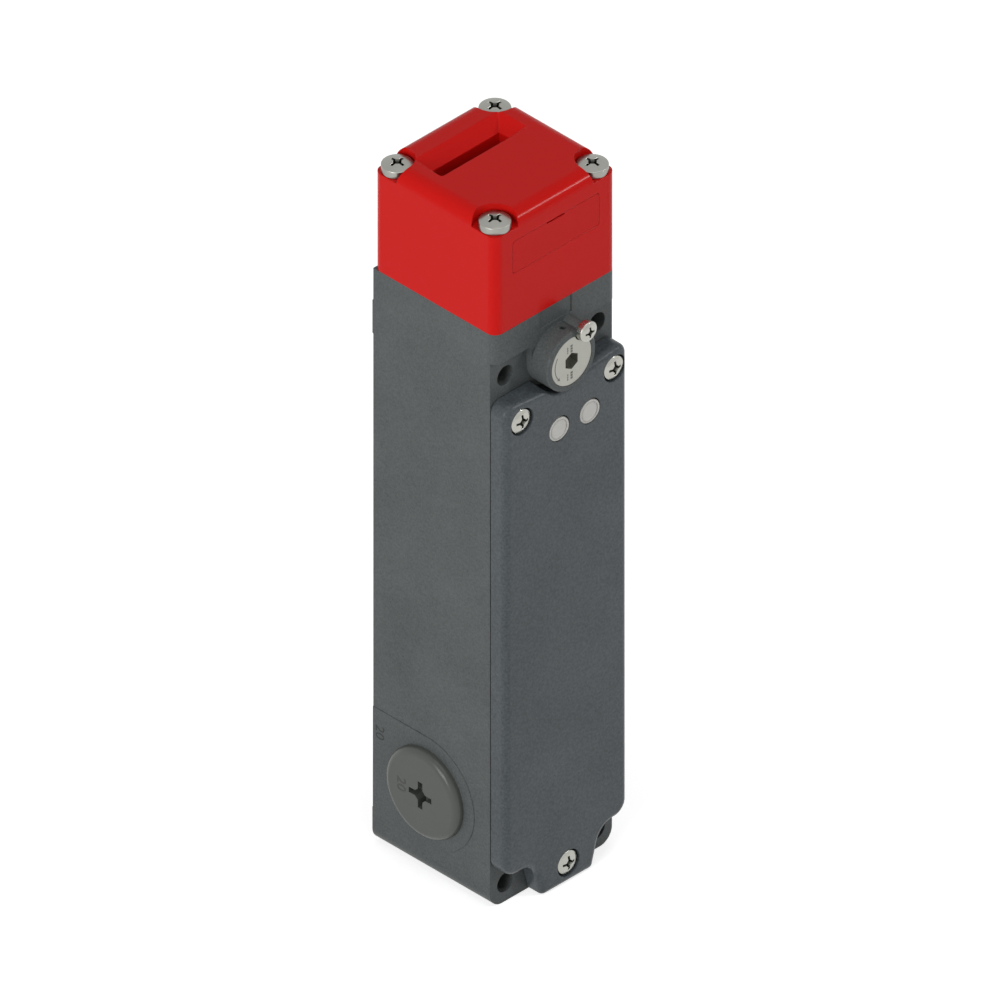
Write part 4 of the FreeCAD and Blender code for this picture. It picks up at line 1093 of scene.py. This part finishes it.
@dataclass
class DiscMarks:
    """Engraved marks on the release disc: short columns of ticks and an arrow along an arc."""

    cad: Cad
    palette: Palette
    thick: float = 0.03 * MM
    line: float = 0.2 * MM
    thin: float = 0.32 * MM
    bold: float = 0.66 * MM
    arc_radius: float = 5.4 * MM
    arc_from: float = 148.0   # degrees, from the disc's right-hand side
    arc_to: float = 216.0
    arc_steps: int = 24
    head_length: float = 9.0  # degrees
    head_start: float = 0.573  # degrees beyond the arc
    head_half: float = 2.0    # in lines
    side: float = 1.25 * MM   # thin columns, left of the bold ones
    above: float = 2.75 * MM  # first tick over the axis
    below: float = -4.75 * MM
    tick_length: float = 0.42 * MM
    bold_length: float = 0.52 * MM
    gap: float = 0.22 * MM
    column: float = 2.1 * MM

    def tree(self) -> Growth:
        """Builds the tree that sets ticks along a column.

        Returns:
            The tree.
        """
        growth = Growth("ticks_in_a_column", {"Count": "Int", "Pitch": "Float", "Length": "Float",
                                              "Width": "Float", "Thick": "Float", "Start": "Vector",
                                              "Finish": "Material"})
        given = growth.given
        step = growth.node("ShaderNodeCombineXYZ", {}, {"Y": given["Pitch"]})
        row = growth.node("GeometryNodeMeshLine", {},
                          {"Count": given["Count"], "Start Location": given["Start"], "Offset": step})
        size = growth.node("ShaderNodeCombineXYZ", {},
                           {"X": given["Width"], "Y": given["Length"], "Z": given["Thick"]})
        tick = growth.node("GeometryNodeMeshCube", {}, {"Size": size})
        growth.close(growth.node("GeometryNodeInstanceOnPoints", {}, {"Points": row, "Instance": tick}))
        return growth

    def arrow(self, name: str) -> Mesh:
        """Builds the arc with its head, flat and its axis up.

        Args:
            name: Name of the mesh.

        Returns:
            The mesh.
        """
        form = bmesh.new()

        def corner(radius: float, angle: float) -> bmesh.types.BMVert:
            """Adds a point at a distance from the axis and an angle in degrees."""
            turn = math.radians(angle)
            return form.verts.new((radius * math.cos(turn), radius * math.sin(turn), 0))

        inner, outer = self.arc_radius - self.line / 2, self.arc_radius + self.line / 2
        step = (self.arc_to - self.arc_from) / self.arc_steps
        angles = [self.arc_from + step * number for number in range(self.arc_steps + 1)]
        rails = [(corner(inner, angle), corner(outer, angle)) for angle in angles]
        faces = [form.faces.new((a[0], a[1], b[1], b[0])) for a, b in zip(rails, rails[1:])]
        foot, wide = self.arc_to + self.head_start, self.head_half * self.line
        tip = corner(self.arc_radius, self.arc_to + self.head_length)
        faces.append(form.faces.new((corner(self.arc_radius - wide, foot),
                                     corner(self.arc_radius + wide, foot), tip)))
        grown = bmesh.ops.extrude_face_region(form, geom=faces)
        lifted = [part for part in grown["geom"] if isinstance(part, bmesh.types.BMVert)]
        bmesh.ops.translate(form, verts=lifted, vec=(0, 0, self.thick))
        return Outline.closed(form, name)

    def build(self) -> None:
        """Sets the marks on the disc."""
        low, high = (Vector(corner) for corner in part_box("release_shaft"))
        face = Matrix.Translation(((low.x + high.x) / 2, low.y, (low.z + high.z) / 2)) @ Facing.FRONT.turn()
        growth = self.tree()
        # The marks stand thin on the disc in dark grey, which is painted shade of engraved grooves.
        painted_groove_shade = self.palette.made["disc_mark_shade"]
        seed = bpy.data.meshes.new("tick_seed")
        kinds = ((-self.side, self.thin, self.tick_length), (0.0, self.bold, self.bold_length))
        columns = [(x, y, width, length) for x, width, length in kinds for y in (self.above, self.below)]
        for number, (x, y, width, length) in enumerate(columns, 1):
            pitch = length + self.gap
            piece = growth.grow(seed, f"disc_ticks_{number}",
                                {"Count": round(self.column / pitch), "Pitch": pitch, "Length": length,
                                 "Width": width, "Thick": self.thick, "Start": (x, y, self.thick / 2),
                                 "Finish": painted_groove_shade})
            piece.data.transform(face)
            self.cad.place(piece, "release_shaft", False)
        arrow = self.arrow("disc_arrow")
        arrow.transform(face)
        piece = stand(arrow, "disc_arrow")
        piece.data.materials.append(painted_groove_shade)
        self.cad.place(piece, "release_shaft", False)


@dataclass
class SizeNumbers:
    """Plain numbers for the size of the conduit thread, on the casting and on its plug."""

    cad: Cad
    palette: Palette
    number: str = "20"
    size: float = 4.06 * MM  # of the letters, whose figures are 2.9 mm high
    thick: float = 0.04 * MM
    round_steps: int = 3
    turn: float = -90.0      # degrees
    body_place: tuple[float, float] = (17.7 * MM, 32.4 * MM)
    plug_place: tuple[float, float] = (8.4 * MM, 23.6 * MM)

    def write(self, name: str, node: str, place: tuple[float, float], finish: str) -> None:
        """Writes the number on the left face of a node.

        Args:
            name: Name of the piece.
            node: The node that carries it.
            place: Y and Z of its middle.
            finish: Name of its finish.
        """
        words = bpy.data.curves.new(name, "FONT")
        words.body = self.number
        words.size = self.size
        words.align_x = words.align_y = "CENTER"
        words.extrude = self.thick
        words.resolution_u = self.round_steps
        flat = stand(words, name + "_flat")
        mesh = bpy.data.meshes.new_from_object(flat.evaluated_get(bpy.context.evaluated_depsgraph_get()))
        bpy.data.objects.remove(flat)
        form = bmesh.new()
        form.from_mesh(mesh)
        bmesh.ops.remove_doubles(form, verts=form.verts, dist=0.001 * MM)
        low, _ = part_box(node)
        spin = Matrix.Rotation(math.radians(self.turn), 4, "Z")
        form.transform(Matrix.Translation((low[0], *place)) @ Facing.LEFT.turn() @ spin)
        piece = stand(Outline.closed(form, name), name)
        piece.data.materials.clear()
        piece.data.materials.append(self.palette.made[finish])
        self.cad.place(piece, node, False)

    def build(self) -> None:
        """Writes both numbers."""
        # The figures are darker than the casting and the plug, as painted shade of their relief.
        self.write("body_number", "body_housing", self.body_place, "casting_figure_shade")
        self.write("plug_number", "entry_plug_left", self.plug_place, "plug_figure_shade")


@dataclass(frozen=True)
class Lamp:
    """Soft square lamp."""

    name: str
    place: tuple[float, float, float]
    size: float              # side
    power: float             # watts

    def hang(self, aim: Vector) -> None:
        """Hangs the lamp.

        Args:
            aim: The point that it faces.
        """
        data = bpy.data.lights.new(self.name, "AREA")
        data.shape = "SQUARE"
        data.size = self.size
        data.energy = self.power
        lamp = stand(data, self.name)
        lamp.location = self.place
        lamp.rotation_mode = "QUATERNION"
        lamp.rotation_quaternion = (aim - lamp.location).to_track_quat("-Z", "Y")


LAMPS = (
    Lamp("key_left", (-1.15, -0.2, 0.5), 0.6, 7.8),
    Lamp("small_right", (0.72, -0.856, 0.657), 0.06, 2.9),
    Lamp("top_soft", (0.0, -0.35, 1.35), 0.8, 2.6),
)


@dataclass
class Studio:
    """White floor and surroundings, soft lamps and the camera at the photograph's angle."""

    centre: tuple[float, float, float] = (0.835 * MM, -0.835 * MM, 97.19 * MM)
    view_width: float = 231.93 * MM
    azimuth: float = -45.0   # degrees
    elevation: float = 35.264
    distance: float = 1.2
    near: float = 0.01
    far: float = 10.0
    surroundings: float = 0.3
    floor_glow: float = 0.64
    floor_half: float = 3.0
    floor_height: float = -0.05 * MM
    aim: tuple[float, float, float] = (0.0, 0.0, 0.1)

    def back(self) -> Vector:
        """Direction from the object to the camera."""
        a, e = math.radians(self.azimuth), math.radians(self.elevation)
        return Vector((math.sin(a) * math.cos(e), -math.cos(a) * math.cos(e), math.sin(e)))

    def camera(self) -> None:
        """Makes the camera, without perspective."""
        data = bpy.data.cameras.new("camera")
        data.type = "ORTHO"
        data.ortho_scale = self.view_width
        data.clip_start = self.near
        data.clip_end = self.far
        camera = stand(data, "camera")
        camera.location = Vector(self.centre) + self.back() * self.distance
        camera.rotation_mode = "QUATERNION"
        camera.rotation_quaternion = (-self.back()).to_track_quat("-Z", "Y")
        bpy.context.scene.camera = camera

    def world(self) -> None:
        """White surroundings, brighter for the camera and in reflections than as light."""
        world = bpy.data.worlds.new("surroundings")
        world.use_nodes = True
        nodes = Nodes(world.node_tree)
        white = (1.0, 1.0, 1.0)
        light = nodes.node("ShaderNodeBackground", {}, {"Color": white, "Strength": self.surroundings})
        seen = nodes.node("ShaderNodeBackground", {}, {"Color": white, "Strength": 1.0})
        mixed = nodes.node("ShaderNodeMixShader", {}, {0: nodes.seen_directly(), 1: light, 2: seen})
        nodes.add("ShaderNodeOutputWorld", {}, {"Surface": mixed})
        bpy.context.scene.world = world

    def floor(self) -> None:
        """Lays the floor, which is white to the camera but for the object's shadow."""
        mesh = bpy.data.meshes.new("floor")
        half, height = self.floor_half, self.floor_height
        corners = [(-half, -half, height), (half, -half, height), (half, half, height), (-half, half, height)]
        mesh.from_pydata(corners, [], [(0, 1, 2, 3)])
        floor = stand(mesh, "floor")
        shader = Shader("floor_white")
        shader.finish(Base_Color=(0.8, 0.8, 0.8), Roughness=0.9, Specular_IOR_Level=0.1)
        glow = shader.node("ShaderNodeEmission", {}, {"Strength": shader.seen_directly() * self.floor_glow})
        both = shader.node("ShaderNodeAddShader", {}, {0: shader.surface.outputs[0], 1: glow})
        shader.feed(shader.output.inputs["Surface"], both)
        floor.data.materials.append(shader.material)
        floor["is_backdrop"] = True

    def build(self) -> None:
        """Sets the whole studio up."""
        bpy.context.scene.view_settings.view_transform = "Standard"
        self.camera()
        self.world()
        self.floor()
        for lamp in LAMPS:
            lamp.hang(Vector(self.aim))
        LOG.info("studio ready")


def main() -> None:
    """Builds the studio, dresses the switch and adds the pieces that are built here."""
    logging.basicConfig(level=logging.INFO, format="%(name)s: %(message)s")
    cad = Cad()
    Studio().build()
    palette = Palette()
    for name, piece in cad.nodes.items():
        palette.dress(piece, cad.slots[name])
        LOG.info("dressed %s as %s", name, cad.slots[name])
    Fasteners(cad, palette).build()
    Lenses(cad, palette).build()
    Springs(cad, palette).build()
    DiscMarks(cad, palette).build()
    SizeNumbers(cad, palette).build()


if __name__ == "__main__":
    main()
